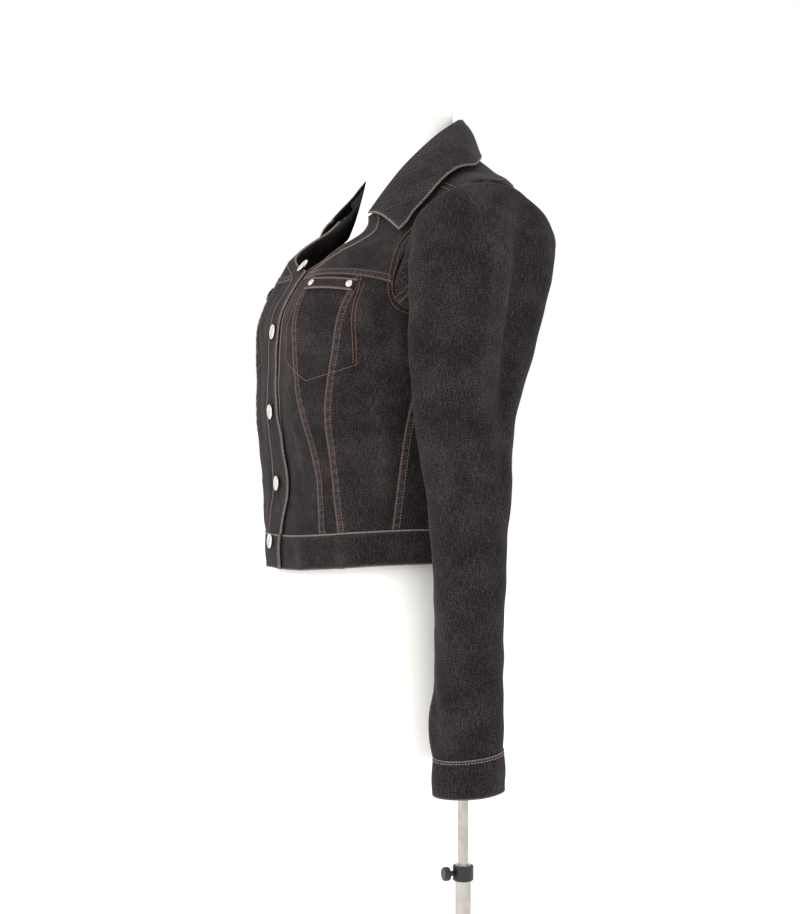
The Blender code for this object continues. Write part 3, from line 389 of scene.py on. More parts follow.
class Panel:
    """A cloth panel on the surface at(v, u), between u = left(v) and right(v)."""

    def __init__(self, at, ends, left, right, sign=1, strips="", worn="", wall=CLOTH, creases=CREASES,
                 crease_on=body, rub=0.95):
        self.at, self.ends, self.left, self.right, self.sign = at, ends, left, right, sign
        self.strips, self.worn, self.wall, self.creases = strips, worn, wall, creases
        self.crease_on, self.rub = crease_on, rub

        # Lengths across the panel, row by row, so that distances from its edges are true ones.
        self.rows, self.shares = np.linspace(*ends, TABLE_ROWS), np.linspace(0, 1, TABLE_SHARES)
        a, b = left(self.rows)[:, None], right(self.rows)[:, None]
        points = at(self.rows[:, None], a + (b - a) * self.shares)
        steps = np.linalg.norm(np.diff(points, axis=1), axis=-1)
        self.run = np.concatenate([np.zeros((len(self.rows), 1)), np.cumsum(steps, axis=1)], axis=1)

    def wide(self, v):
        return np.interp(v, self.rows, self.run[:, -1])

    def across(self, v, share):
        """The length from the left edge to this share of the width."""
        y = np.clip((v - self.rows[0]) / (self.rows[1] - self.rows[0]), 0, len(self.rows) - 1.001)
        x = np.clip(share * (len(self.shares) - 1), 0, len(self.shares) - 1.001)
        i, j = y.astype(int), x.astype(int)
        f, g = y - i, x - j
        low = self.run[i, j] * (1 - g) + self.run[i, j + 1] * g
        return low * (1 - f) + (self.run[i + 1, j] * (1 - g) + self.run[i + 1, j + 1] * g) * f

    def share_at(self, v, lengths):
        """Shares of the width at these lengths from the left edge; lengths has one row per v."""
        i = np.clip(np.searchsorted(self.rows, v) - 1, 0, len(self.rows) - 2)
        f = np.clip((v - self.rows[i]) / (self.rows[1] - self.rows[0]), 0, 1)[:, None]
        run = self.run[i] * (1 - f) + self.run[i + 1] * f
        return np.array([np.interp(want, have, self.shares) for want, have in zip(lengths, run)])

    def place(self, v, share):
        """Inner-surface point, normal and wear at row v and share of the width."""
        v, share = np.broadcast_arrays(np.asarray(v, float), np.asarray(share, float))
        a, b = self.left(v), self.right(v)
        point, normal, _, tall = drawn(self.at, self.sign, v, a + (b - a) * share)
        from_left = self.across(v, share)
        gap = {"l": from_left, "r": self.wide(v) - from_left,
               "b": np.abs(v - self.ends[0]) * tall, "t": np.abs(self.ends[1] - v) * tall}
        rise = crease_height(point, self.creases, self.crease_on)
        wear = np.clip(rise / CREST_TALL, 0, CREST_WEAR)
        rise = rise + ripple(point)
        for border in self.strips:
            d = gap[border]
            run = point[..., 2] if border in "lr" else point[..., 0] + point[..., 1]
            wave = np.sin(run / PUCKER_EVERY * 2 * math.pi + 2.0 * np.sin(run * 90))
            rise = rise + STRIP_RISE * strip(d) + PUCKER * wave * np.exp(-((d / PUCKER_REACH) ** 2))
            ridge = np.exp(-(((d - STRIP_WIDE / 2) / STRIP_WEAR_WIDE) ** 2))
            wear = wear + STRIP_WEAR * ridge * (0.5 + 0.5 * wave)
        for border in self.worn:
            wear = np.maximum(wear, self.rub * np.exp(-((gap[border] / EDGE_WEAR_WIDE) ** 2)))
        return point + normal * rise[..., None], normal, wear

    def row(self, border, distance, start=0.0, stop=1.0):
        """A line for stitching, this far in from a border: its points and normals."""
        if border in "lr":
            v = self.ends[0] + (self.ends[1] - self.ends[0]) * np.linspace(start, stop, 160)
            length = np.full_like(v, distance) if border == "l" else self.wide(v) - distance
            share = self.share_at(v, length[:, None])[:, 0]
        else:
            share = np.linspace(start, stop, 220)
            v = np.full_like(share, self.ends[0] if border == "b" else self.ends[1])
            a, b = self.left(v), self.right(v)
            tall = drawn(self.at, self.sign, np.clip(v, *sorted(self.ends)), a + (b - a) * share)[3]
            inward = np.sign(self.ends[1] - self.ends[0]) * (1 if border == "b" else -1)
            v = v + inward * distance / np.maximum(tall, 1e-4)
        point, normal, _ = self.place(v, share)
        return point + normal * self.wall, normal

    def build(self, name, flat, area, step=MESH_STEP):
        """Lays the panel's cloth over the CAD node of this name."""
        low, high = self.ends
        v = np.linspace(low, high, 60)
        middle = self.at(v, (self.left(v) + self.right(v)) / 2)
        run = np.concatenate([[0], np.cumsum(np.linalg.norm(np.diff(middle, axis=0), axis=1))])
        if run[-1] > NARROW:
            inner = np.linspace(EDGE_STEPS[-1], run[-1] - EDGE_STEPS[-1], max(3, int(run[-1] / step)))[1:-1]
            lengths = np.concatenate([EDGE_STEPS, inner, run[-1] - EDGE_STEPS[::-1]])
        else:
            lengths = np.linspace(0, run[-1], max(4, int(run[-1] / NARROW_STEP)))
        rows = np.interp(lengths, run, v)
        wide = self.wide(rows)
        edge = EDGE_STEPS * min(1.0, wide.min() / EDGES_WIDE)
        mid = np.linspace(0, 1, max(4, int(wide.max() / step)))[1:-1]
        span = wide[:, None]
        middle = edge[-1] + mid * (span - 2 * edge[-1])
        across = np.concatenate([edge + 0 * span, middle, span - edge[::-1]], axis=1)
        share = self.share_at(rows, across)
        point, _, wear = self.place(rows[:, None], share)
        made = add_mesh(f"{name}_cloth", point.reshape(-1, 3), grid_faces(*share.shape, flip=self.sign < 0),
                        black_denim, "denim")
        uv = np.stack([across - span / 2, lengths[:, None] + 0 * across], -1)
        dress(made, uv.reshape(-1, 2), wear.ravel(), self.wall)
        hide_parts(name)


def dress(made, uv, wear, wall):
    """Gives a sheet its cloth coordinates in metres, its worn places and its thickness."""
    mesh = made.data
    layer = mesh.uv_layers.new(name="cloth")
    corner = np.zeros(len(mesh.loops), np.int32)
    mesh.loops.foreach_get("vertex_index", corner)
    # Each piece is cut from its own place in the cloth, so no two share their flecks.
    shift = np.array([len(made.name) * 0.37, sum(map(ord, made.name)) * 0.0131])
    layer.data.foreach_set("uv", (uv + shift)[corner].astype(np.float32).ravel())
    worn = mesh.attributes.new("wear", "FLOAT", "POINT")
    worn.data.foreach_set("value", np.clip(wear, 0, 1).astype(np.float32))
    thick = made.modifiers.new("thickness", "SOLIDIFY")
    thick.thickness, thick.offset, thick.use_even_offset = wall, 1.0, False


# ---- Body panels ----
# Twelve pieces, the yokes among them, joined by lapped seams that are sewn down twice.
# The right front laps over the left one and hangs a little fuller.
PLACKET_HALF = 0.0165
OVERLAP_LIFT, OVERLAP_FROM, OVERLAP_TO = 0.0040, 0.050, 0.020
SEAM_A = ((1, 36.5), (2, 32), (2.6, 29), (3, 25.5), (3.8, 21.8), (4.5, 20.5), (6, 19))
SEAM_B = ((1, 47.5), (2.2, 41.5), (3, 40.8), (4, 43.5), (5, 44), (6, 43.5))
SEAM_SIDE = ((1, 75.5), (2.2, 79.2), (3.2, 83.5), (4.2, 87), (5, 90))
SEAM_BACK = ((1, 152), (3.5, 146), (6, 143))
OPEN_EDGE = ((6.3, -4), (6.6, 6), (7, 16), (7.5, 21.5), (8, 25), (9, 28), (10, 30.5))
OPEN_SEAM = ((6.3, 9), (6.6, 17), (7, 24), (7.5, 29), (8, 32), (9, 37), (10, 42))
EDGE_WAVE = (
    (1, 0.026), (1.5, 0.026), (2, 0.030), (2.5, 0.024), (3, 0.017), (3.6, 0.014),
    (4.4, 0.014), (5.2, 0.017), (6, 0.0165),
)
RIGHT_FULL = (
    (0, 0.0), (1, 0.001), (1.5, 0.008), (2, 0.012), (2.6, 0.009), (3.4, 0.003), (4.5, 0.001), (5.2, 0.002),
    (5.8, 0.005), (6.3, 0.009), (6.8, 0.013), (7.4, 0.013), (8.3, 0.012), (9.2, 0.010), (10, 0.008),
)
FULL_EDGE, FULL_FROM, FULL_OVER = 60.0, -6.0, 30.0
SHOULDER_SEAM = 75.5
ARMHOLE = (
    # name,          turn, t,    angle
    ("bottom",       -90, 5.00, 90.0),
    ("front_low",    -60, 5.22, 76.0),
    ("front_curve",  -30, 5.62, 66.0),
    ("front",          0, 6.30, 60.0),
    ("front_high",    30, 7.20, 60.0),
    ("shoulder",      60, 7.90, 72.0),
    ("top",           90, 8.15, 90.0),
    ("behind_top",   120, 8.08, 109.0),
    ("back_high",    150, 7.75, 123.0),
    ("back",         180, 6.90, 127.0),
    ("back_curve",   210, 5.95, 121.0),
    ("back_low",     240, 5.25, 106.0),
)


def smooth_line(table):
    """A seam's angle in radians at t, eased between the rows of its table."""
    t = np.array([row[0] for row in table], float)
    degrees = np.array([row[1] for row in table], float)
    slope = np.gradient(degrees, t)

    def at(v):
        v = np.clip(v, t[0], t[-1])
        i = np.clip(np.searchsorted(t, v, side="right") - 1, 0, len(t) - 2)
        h = t[i + 1] - t[i]
        f = (v - t[i]) / h
        return np.radians((2 * f**3 - 3 * f**2 + 1) * degrees[i] + (f**3 - 2 * f**2 + f) * h * slope[i]
                          + (3 * f**2 - 2 * f**3) * degrees[i + 1] + (f**3 - f**2) * h * slope[i + 1])

    return at


seam_a, seam_b, seam_back = smooth_line(SEAM_A), smooth_line(SEAM_B), smooth_line(SEAM_BACK)
seam_side, open_edge, open_seam = smooth_line(SEAM_SIDE), smooth_line(OPEN_EDGE), smooth_line(OPEN_SEAM)


def angle_at(t, x):
    wide, bow = through(RING_COLUMNS[:, 2], t), through(RING_COLUMNS[:, 7], t)
    return np.sign(x) * np.arcsin((np.abs(x) / wide) ** (1 / bow))


def overlap(t, angle):
    """How far the right front stands off; angle is negative on the right."""
    x, degrees = body(t, angle)[..., 0], -np.degrees(angle)
    lapped = OVERLAP_LIFT * soft_step((x + OVERLAP_FROM) / (OVERLAP_FROM - OVERLAP_TO))
    full = soft_step((FULL_EDGE - degrees) / FULL_OVER) * soft_step((degrees - FULL_FROM) / FULL_OVER)
    return lapped + read(RIGHT_FULL, t) * full


def right_at(t, angle):
    """The right side; angle counts from the front centre as on the left."""
    return raised(t, -angle, overlap(t, -angle))


SIDES = ((1, "L"), (-1, "R"))
SIDE_AT = {1: body, -1: right_at}


def steady(value):
    """A panel border that keeps to one value."""
    return lambda t: np.full_like(t, value)


def armhole(turn):
    """(t, angle in radians) of the armhole at a turn in degrees; -90 is the underarm, 0 the front."""
    k = np.mod((np.asarray(turn, float) + 90) / 30, len(ARMHOLE)) + 3
    t, degrees = ([row[c] for row in ARMHOLE] for c in (2, 3))
    return through(t[-3:] + t + t[:3], k), np.radians(through(degrees[-3:] + degrees + degrees[:3], k))


def arm_edge(turns):
    t, angle = armhole(turns)
    t = np.maximum.accumulate(t)
    return lambda v: np.interp(v, t, angle)


front_arm, back_arm = arm_edge(np.linspace(-90, 90, 181)), arm_edge(np.linspace(270, 90, 181))
SEAM_CORNER, SHOULDER_GAP = 0.14, 0.1
OPENS_FROM, OPENS_OVER = 6.0, 0.35  # where the plackets start to fold open


def side_front(t):
    return np.where(t < UNDERARM, seam_side(t), front_arm(t))


def side_back(t):
    return np.where(t < UNDERARM, seam_side(t), back_arm(t))


def yoke_front_end(t):
    shoulder = math.radians(SHOULDER_SEAM - SHOULDER_GAP)
    return np.where(t < TIP, np.minimum(front_arm(t), shoulder), shoulder)


def yoke_back_end(t):
    shoulder = math.radians(SHOULDER_SEAM + SHOULDER_GAP)
    corner = np.clip(1 - (t - ARM_TOP) / SEAM_CORNER, 0, 1)
    eased = shoulder + (back_arm(np.full_like(t, ARM_TOP)) - shoulder) * corner
    return np.where(t <= ARM_TOP, back_arm(t), eased)


def opening_share(t):
    return soft_step((t - OPENS_FROM) / OPENS_OVER)


def placket_inner(t):
    straight = angle_at(t, PLACKET_HALF)
    return straight + (np.maximum(straight, open_seam(t)) - straight) * opening_share(t)


def free_edge(side):
    def at(t):
        straight = -angle_at(t, read(EDGE_WAVE, t) if side < 0 else PLACKET_HALF)
        return straight + (np.maximum(straight, open_edge(t)) - straight) * opening_share(t)
    return at


def around_back(edge):
    return lambda t: 2 * math.pi - edge(t)


ROW_IN, ROW_OUT = 0.0016, 0.0076  # the two rows of stitching on every lapped edge
stitch_rows = {}


def sew(group, row):
    """Keeps a line of (points, normals) to be stitched with its group."""
    stitch_rows.setdefault(group, []).append(row)


def sew_twice(group, panel, border, **ends):
    for distance in (ROW_IN, ROW_OUT):
        sew(group, panel.row(border, distance, **ends))


PANELS = (
    # stem, t from, to, left seam, right seam, lapped edges, cut width, cut length, area
    ("front_centre", BAND, YOKE, placket_inner, seam_a, "", 0.085, 0.300, 0.0184),
    ("front_middle", BAND, YOKE, seam_a, seam_b, "l", 0.072, 0.296, 0.0124),
    ("front_side", BAND, YOKE, seam_b, side_front, "l", 0.108, 0.290, 0.0235),
    ("back_side", BAND, YOKE, side_back, seam_back, "l", 0.158, 0.306, 0.0364),
    ("front_yoke", YOKE, NECK, placket_inner, yoke_front_end, "b", 0.166, 0.212, 0.0158),
    ("back_centre", BAND, YOKE, seam_back, around_back(seam_back), "lr", 0.200, 0.300, 0.0555),
    ("back_yoke", YOKE, NECK, yoke_back_end, around_back(yoke_back_end), "b", 0.440, 0.165, 0.0578),
)
panels = {}
for stem, low, high, left, right, lapped, width, length, area in PANELS:
    for side, tag in SIDES if stem not in ("back_centre", "back_yoke") else ((1, ""),):
        name = f"{stem}_{tag}" if tag else stem
        panels[name] = Panel(SIDE_AT[side], (low, high), left, right, sign=side, strips=lapped, worn=lapped,
                             rub=0.45)
        panels[name].build(name, flat=(width, length), area=area)
for name, border in (("front_middle", "l"), ("front_side", "l"), ("back_side", "l")):
    for tag in "LR":
        sew_twice("body", panels[f"{name}_{tag}"], border, start=0.005, stop=0.995)
for border in "lr":
    sew_twice("body", panels["back_centre"], border)
for name in ("front_yoke_L", "front_yoke_R", "back_yoke"):
    sew_twice("body", panels[name], "b", start=0.01, stop=0.99)


CAP_OVER = 0.0065  # how far the sleeve's head stands over the seam at its front
CAP_FROM, CAP_TO, CAP_SOFT = 5.0, 85.0, 20.0
TOPSTITCHED = ((-70, 68), (112, 250))  # the turns of the armhole that are sewn down, in degrees
THREAD_LIFT = 0.0003


def round_armhole(side, turns):
    """Points along the armhole with the outward normal, and the way along the body away from the arm."""
    t, angle = armhole(turns)
    point, normal, _, _ = drawn(SIDE_AT[side], side, t, angle)
    away = point - point.mean(axis=0)
    return point, normal, unit(away - normal * np.sum(away * normal, axis=-1, keepdims=True))


def on_cloth(point, normal, lift):
    """The line moved out to lie on the creased body cloth, with its normals."""
    rise = crease_height(point, CREASES, body) + ripple(point)
    return point + normal * (rise[:, None] + CLOTH + lift), normal


def on_body(path, side):
    """A line on the outside of the body cloth through these (t, degrees)."""
    legs = [np.linspace(path[i], path[i + 1], 40) for i in range(len(path) - 1)]
    t, degrees = np.concatenate(legs).T
    point, normal, _, _ = drawn(SIDE_AT[side], side, t, np.radians(degrees))
    return on_cloth(point, normal, STRIP_RISE)


for side, tag in SIDES:
    for distance in (ROW_IN, ROW_OUT):
        for ends in TOPSTITCHED:
            turns = np.linspace(*ends, 120)
            point, normal, away = round_armhole(side, turns)
            hidden = soft_step((turns - CAP_FROM) / CAP_SOFT) * soft_step((CAP_TO - turns) / CAP_SOFT)
            sew("body", on_cloth(point + away * (distance + CAP_OVER * hidden)[:, None], normal, THREAD_LIFT))

# Inside each armhole the seam allowances are pressed flat, bridging body and sleeve.
ALLOWANCE, ALLOWANCE_WALL, ALLOWANCE_SINK = np.array([0.0065, 0.0020, -0.0025, -0.0070]), 0.0005, 0.0008
ARMHOLE_ROUND = 0.44
for side, tag in SIDES:
    turns = np.linspace(0, 360, 181)[:-1]
    point, normal, away = round_armhole(side, turns)
    rows = np.array([point + away * out - normal * ALLOWANCE_SINK for out in ALLOWANCE])
    allowance = add_mesh(f"armhole_allowance_{tag}", rows.reshape(-1, 3),
                         grid_faces(len(ALLOWANCE), len(turns), closed=True, flip=side > 0), black_denim,
                         "denim")
    run, out = np.meshgrid(np.linspace(0, ARMHOLE_ROUND, len(turns)), ALLOWANCE)
    dress(allowance, np.stack([run, out], -1).reshape(-1, 2), np.zeros(run.size), ALLOWANCE_WALL)
for tag in "LR":
    sew_twice("body", panels[f"front_yoke_{tag}"], "r", start=0.52, stop=0.95)

# The pocket bag behind each welt is caught down through the front in a pointed outline.
POCKET = ((5.25, 19.5), (3.83, 12.6), (3.45, 30.8), (3.58, 46.0), (3.68, 56.8), (5.80, 49.4))
POCKET_INNER = ((3.70, 55.0), (5.80, 47.6))
for side, tag in SIDES:
    sew("body", on_body(POCKET, side))
    sew("body", on_body(POCKET_INNER, side))

# ---- Plackets ----
# A doubled strip down each front edge; the right one lies over the left and its free edge waves. Above the
# fastened buttons both fold open towards the neck, so the edge shows its pale worn fold.
PLACKET_ROW = 0.0018
for side, tag in SIDES:
    placket = Panel(SIDE_AT[side], (BAND, NECK), free_edge(side), placket_inner, sign=side, worn="lr",
                    wall=PLACKET_WALL if side < 0 else DOUBLED)
    placket.build(f"placket_{tag}", flat=(0.053, 0.478), area=0.0132, step=0.0022)
    for border in "lr":
        sew("body", placket.row(border, PLACKET_ROW))

# ---- Waistband ----
# One doubled strip all round, its right end lapped over the left; a single row holds its top edge.
band_lap = float(angle_at(0.5, PLACKET_HALF))


def band_at(t, angle):
    wrapped = np.where(angle > math.pi, angle - 2 * math.pi, angle)
    return raised(t, angle, np.where(angle > math.pi, overlap(t, wrapped), 0.0))


BAND_CREASES = (
    ((0.02, 8), (0.98, 10), 0.0050, -0.0012), ((0.02, 24), (0.90, 22), 0.0060, 0.0010),
    ((0.00, 33), (0.95, 34), 0.0055, -0.0014), ((0.02, 50), (0.98, 48), 0.0060, 0.0009),
    ((0.00, 62), (0.80, 64), 0.0060, -0.0013), ((0.05, 84), (0.95, 82), 0.0070, -0.0009),
    ((0.02, 118), (0.90, 120), 0.0070, -0.0012), ((0.02, 150), (0.95, 148), 0.0060, 0.0009),
    ((0.00, 176), (0.90, 178), 0.0070, -0.0013), ((0.02, 206), (0.95, 209), 0.0060, -0.0010),
    ((0.02, 243), (0.95, 240), 0.0060, 0.0010), ((0.02, 281), (0.92, 283), 0.0070, -0.0012),
    ((0.02, 315), (0.95, 318), 0.0060, -0.0010), ((0.02, 338), (0.95, 334), 0.0060, 0.0010),
)
waistband = Panel(band_at, (HEM, BAND), steady(-band_lap), steady(2 * math.pi + 1.5 * band_lap), worn="btr",
                  wall=DOUBLED, creases=BAND_CREASES, crease_on=band_at)
waistband.build("waistband", flat=(0.930, 0.0395), area=0.0351, step=0.0022)
# The top row is sewn in the paler thread, a painted highlight.
sew("light", waistband.row("t", 0.0012, start=0.03, stop=0.998))
sew("body", waistband.row("r", 0.0030, start=0.04, stop=0.96))

# ---- Chest welts and rivets ----
# A folded strip closes each pocket mouth just under the yoke, held at both ends by a plain domed rivet.
WELT_T, WELT_ANGLES, WELT_WALL, WELT_LIFT = (5.52, 5.86), (21.0, 46.0), 0.0014, 0.0028
for side, tag in SIDES:
    def welt_at(t, angle, side=side):
        point, normal, _, _ = drawn(SIDE_AT[side], side, t, angle)
        return point + normal * WELT_LIFT

    welt = Panel(welt_at, WELT_T, *(steady(math.radians(a)) for a in WELT_ANGLES), sign=side, worn="bt",
                 wall=WELT_WALL)
    welt.build(f"chest_welt_{tag}", flat=(0.072, 0.0148), area=0.0010, step=0.0016)
    for border in "bt":
        sew("body", welt.row(border, 0.0016))

# ---- Collar ----
# A stand sewn to the neck and a leaf that turns over at the roll line and falls to pointed fronts. Its folded
# edge is worn pale and has one row of stitching just inside it.
COLLAR = np.array((
    # roll line x, y, z,     leaf edge t, angle, lift,   stand foot angle
    (0.054, -0.043, 1.305,   7.60, 49.5, 0.0070, 31.0),
    (0.067, -0.018, 1.342,   8.28, 54.0, 0.0065, 56.0),
    (0.071, 0.004, 1.367,    8.56, 65.0, 0.0065, 74.0),
    (0.067, 0.036, 1.397,    8.80, 80.0, 0.0065, 95.0),
    (0.045, 0.068, 1.418,    9.30, 116.0, 0.0045, 132.0),
    (0.000, 0.089, 1.428,    9.66, 180.0, 0.0040, 180.0),
))
LEAF_WALL, STAND_WALL, LEAF_BELLY = 0.0018, 0.0016, 0.0050
STAND_FROM, STAND_SEAM, UNDER_LEAF = 0.8, 0.0022, 0.0026


def stand_off(t, degrees):
    angle = np.radians(degrees)
    return outward(t, angle) * overlap(t, -angle)[..., None]


def collar_at(fall, k, stand=False):
    """The leaf at fall 0 (roll line) to 1 (edge), or the stand at 0 (foot) to 1 (roll line)."""
    mirrored = k > len(COLLAR) - 1
    side_k = np.where(mirrored, 2 * (len(COLLAR) - 1) - k, k)
    column = [through(COLLAR[:, c], side_k) for c in range(7)]
    roll, (edge_t, degrees, lift, foot) = np.stack(column[:3], -1), column[3:]
    edge = raised(edge_t, np.radians(degrees), CLOTH + lift)
    away = edge - roll
    rise = np.array([0.0, 0.0, 1.0]) - away * (away[..., 2] / np.sum(away * away, axis=-1))[..., None]
    belly = unit(rise)
    if stand:
        seam = raised(np.full_like(foot, NECK), np.radians(foot), 0.0)
        below = raised(np.full_like(foot, NECK - 0.2), np.radians(foot), 0.0)
        seam = seam + unit(seam - below) * STAND_SEAM
        point = seam + (roll - belly * UNDER_LEAF - seam) * fall[..., None]
        off = stand_off(np.full_like(foot, NECK), foot)
    else:
        bow = LEAF_BELLY * np.sin(math.pi * np.clip(fall, 0, 1) ** 0.8)
        point = roll + away * fall[..., None] + belly * bow[..., None]
        off = stand_off(NECK + (edge_t - NECK) * fall, foot + (degrees - foot) * fall)
    point = point + off * mirrored[..., None]
    return point * np.stack([np.where(mirrored, -1.0, 1.0), np.ones_like(k), np.ones_like(k)], -1)


LAST_K = 2.0 * (len(COLLAR) - 1)


def leaf_at(v, u, stand=False):
    v, u = np.broadcast_arrays(np.asarray(v, float), np.asarray(u, float))
    return collar_at(v if stand else 1 - v, np.clip(u, 0, LAST_K), stand)


def stand_at(v, u):
    return leaf_at(v, u, stand=True)


leaf = Panel(leaf_at, (0.0, 1.0), steady(0.0), steady(LAST_K), worn="blr", wall=LEAF_WALL, creases=())
leaf.build("collar_leaf", flat=(0.475, 0.080), area=0.0352, step=0.0022)
# The collar's row is sewn in the paler thread, a painted highlight.
for border in "blr":
    sew("light", leaf.row(border, ROW_IN))
stand = Panel(stand_at, (0.0, 1.0), steady(STAND_FROM), steady(LAST_K - STAND_FROM), wall=STAND_WALL,
              creases=())
stand.build("collar_stand", flat=(0.300, 0.037), area=0.0085, step=0.0026)

# ---- Sleeves ----
# Each sleeve is an upper and an under panel sewn along two lengthwise seams and set into the armhole. Empty
# of an arm, it hangs with one long fold down its back and small drags above the cuff.
SLEEVE_RINGS = (
    # name         x,     y,     z      half depth, half width, tilt, pitch, fold
    ("cap_high",   0.184, 0.040, 1.262, 0.0800, 0.060, 78, 0, 0.00),
    ("cap",        0.195, 0.039, 1.251, 0.0810, 0.050, 66, 0, 0.12),
    ("cap_low",    0.199, 0.034, 1.228, 0.0810, 0.040, 45, 0, 0.24),
    ("bicep",      0.200, 0.029, 1.190, 0.0763, 0.032, 20, 0, 0.30),
    ("upper_arm",  0.203, 0.021, 1.142, 0.0692, 0.033, 8, 0, 0.26),
    ("elbow",      0.208, 0.011, 1.072, 0.0549, 0.035, 3, 0, 0.08),
    ("forearm",    0.212, 0.013, 1.000, 0.0460, 0.036, 2, 0, 0.02),
    ("lower_arm",  0.214, 0.0135, 0.940, 0.0391, 0.036, 0, 0, 0.00),
    ("slim",       0.217, 0.012, 0.860, 0.0350, 0.035, 0, 0, 0.00),
    ("above_cuff", 0.219, 0.011, 0.776, 0.0345, 0.035, 0, 3, 0.00),
    ("wrist",      0.220, 0.010, 0.7205, 0.0350, 0.0345, 0, 7, 0.00),
)
CUFF_RINGS = (
    ("cuff_top",   0.220, 0.010, 0.7200, 0.0352, 0.0347, 0, 7, 0.0),
    ("cuff_mid",   0.220, 0.010, 0.6990, 0.0370, 0.0362, 0, 6, 0.0),
    ("cuff_hem",   0.220, 0.009, 0.6790, 0.0360, 0.0355, 0, 4, 0.0),
)
FOLD_AT, FOLD_WIDE = 120.0, 13.0
SEAM_FRONT_ARM, SEAM_BACK_ARM = -42.0, 205.0
VENT_BULGE, VENT_AT, VENT_WIDE, VENT_Z, VENT_TALL = 0.007, -30.0, 22.0, 0.752, 0.028
ARMHOLE_OUT = np.array([0.975, 0.0, -0.222])
SLEEVE_EASE = 0.0012
SLEEVE_STARTS = (0.0004, 0.0045)  # how far out the first two rings stand, before those of the table
armhole_middle = body(*armhole(np.arange(-90, 270, 30))).mean(axis=0)


def ring_point(columns, turn):
    """A point of a sleeve or cuff ring; turn is in degrees from the front."""
    x, y, z, deep, wide, tilt, pitch, fold = columns
    dent = 1 - fold * np.exp(-(((np.mod(turn + 90, 360) - 90 - FOLD_AT) / FOLD_WIDE) ** 2))
    turn, tilt, pitch = np.radians(turn), np.radians(tilt), np.radians(pitch)
    forward, out = -deep * np.cos(turn) * dent, wide * np.sin(turn) * dent
    height = z + out * np.sin(tilt) + forward * np.tan(pitch)
    return np.stack([x + out * np.cos(tilt), y + forward, height], -1)


def armhole_ring(turn, out):
    t, angle = armhole(turn)
    edge = body(t, angle) + ARMHOLE_OUT * out
    return edge + unit(armhole_middle + ARMHOLE_OUT * out - edge) * (CLOTH + SLEEVE_EASE)


def sleeve_at(s, angle):
    """A point of the left sleeve; s is 0 at the armhole and 12 at the wrist."""
    s, angle = np.broadcast_arrays(np.asarray(s, float), np.asarray(angle, float))
    turn = np.degrees(angle)
    rings = [armhole_ring(turn, out) for out in SLEEVE_STARTS]
    rings += [ring_point(row[1:], turn) for row in SLEEVE_RINGS]
    rings = np.stack(rings)
    last = len(rings) - 1
    k = np.clip(s, 0, last)
    i = np.minimum(np.floor(k).astype(int), last - 1)
    four = (np.clip(i + n, 0, last)[None, ..., None] for n in (-1, 0, 1, 2))
    point = cubic(*(np.take_along_axis(rings, ring, axis=0)[0] for ring in four), (k - i)[..., None])
    off = np.mod(turn - VENT_AT + 180, 360) - 180
    near = np.exp(-((off / VENT_WIDE) ** 2)) * np.exp(-(((point[..., 2] - VENT_Z) / VENT_TALL) ** 2))
    point[..., 1] -= VENT_BULGE * near
    return point


def both_sides(surface):
    """(side, tag, surface) for the left surface and its mirror on the right."""
    return (1, "L", surface), (-1, "R", lambda s, angle: surface(s, angle) * np.array([-1.0, 1.0, 1.0]))


SLEEVE_CREASES = {
    # s, turn  to  s, turn
    "L": (
        ((2.6, -30), (4.6, -12), 0.0080, -0.0022), ((2.8, 5), (5.5, 12), 0.0100, 0.0016),
        ((2.4, 25), (4.2, 40), 0.0090, -0.0012), ((3.0, 100), (7.2, 100), 0.0090, 0.0022),
        ((5.6, 128), (8.4, 122), 0.0080, -0.0020), ((6.4, 20), (7.6, 62), 0.0080, -0.0014),
        ((7.0, 60), (8.6, 30), 0.0080, 0.0010), ((7.4, 150), (8.6, 190), 0.0080, -0.0016),
        ((8.4, 40), (9.8, 66), 0.0080, -0.0010), ((9.2, -10), (10.6, 20), 0.0070, 0.0010),
        ((10.4, -26), (11.6, 6), 0.0060, -0.0016), ((10.8, 40), (11.8, 76), 0.0060, -0.0009),
        ((10.5, 150), (11.7, 186), 0.0060, -0.0014), ((2.6, 150), (4.4, 168), 0.0090, -0.0016),
        ((1.8, 70), (3.4, 84), 0.0080, 0.0012), ((3.4, 230), (5.2, 250), 0.0090, -0.0020),
        ((6.6, 260), (7.8, 290), 0.0080, -0.0016),
    ),
    "R": (
        ((2.6, -26), (4.9, -8), 0.0080, -0.0020), ((3.0, 8), (5.2, 16), 0.0100, 0.0014),
        ((3.0, 104), (6.8, 98), 0.0090, 0.0022), ((5.4, 130), (8.0, 118), 0.0080, -0.0018),
        ((6.0, 30), (7.4, 70), 0.0080, -0.0016), ((7.2, 165), (8.4, 200), 0.0080, -0.0014),
        ((8.8, 30), (10.0, 60), 0.0080, -0.0012), ((10.2, -20), (11.4, 12), 0.0060, -0.0014),
        ((10.6, 160), (11.6, 196), 0.0060, -0.0014), ((2.4, 148), (4.0, 172), 0.0090, -0.0016),
        ((3.6, 236), (5.0, 256), 0.0090, -0.0018), ((6.2, 265), (7.6, 285), 0.0080, -0.0014),
    ),
}
SLEEVE_PANELS = (
    # stem, seam from, to, lapped edges, cut width, cut length, area
    ("sleeve_upper", SEAM_FRONT_ARM, SEAM_BACK_ARM, "l", 0.350, 0.630, 0.1175),
    ("sleeve_under", SEAM_BACK_ARM, 360 + SEAM_FRONT_ARM, "", 0.160, 0.540, 0.0488),
)
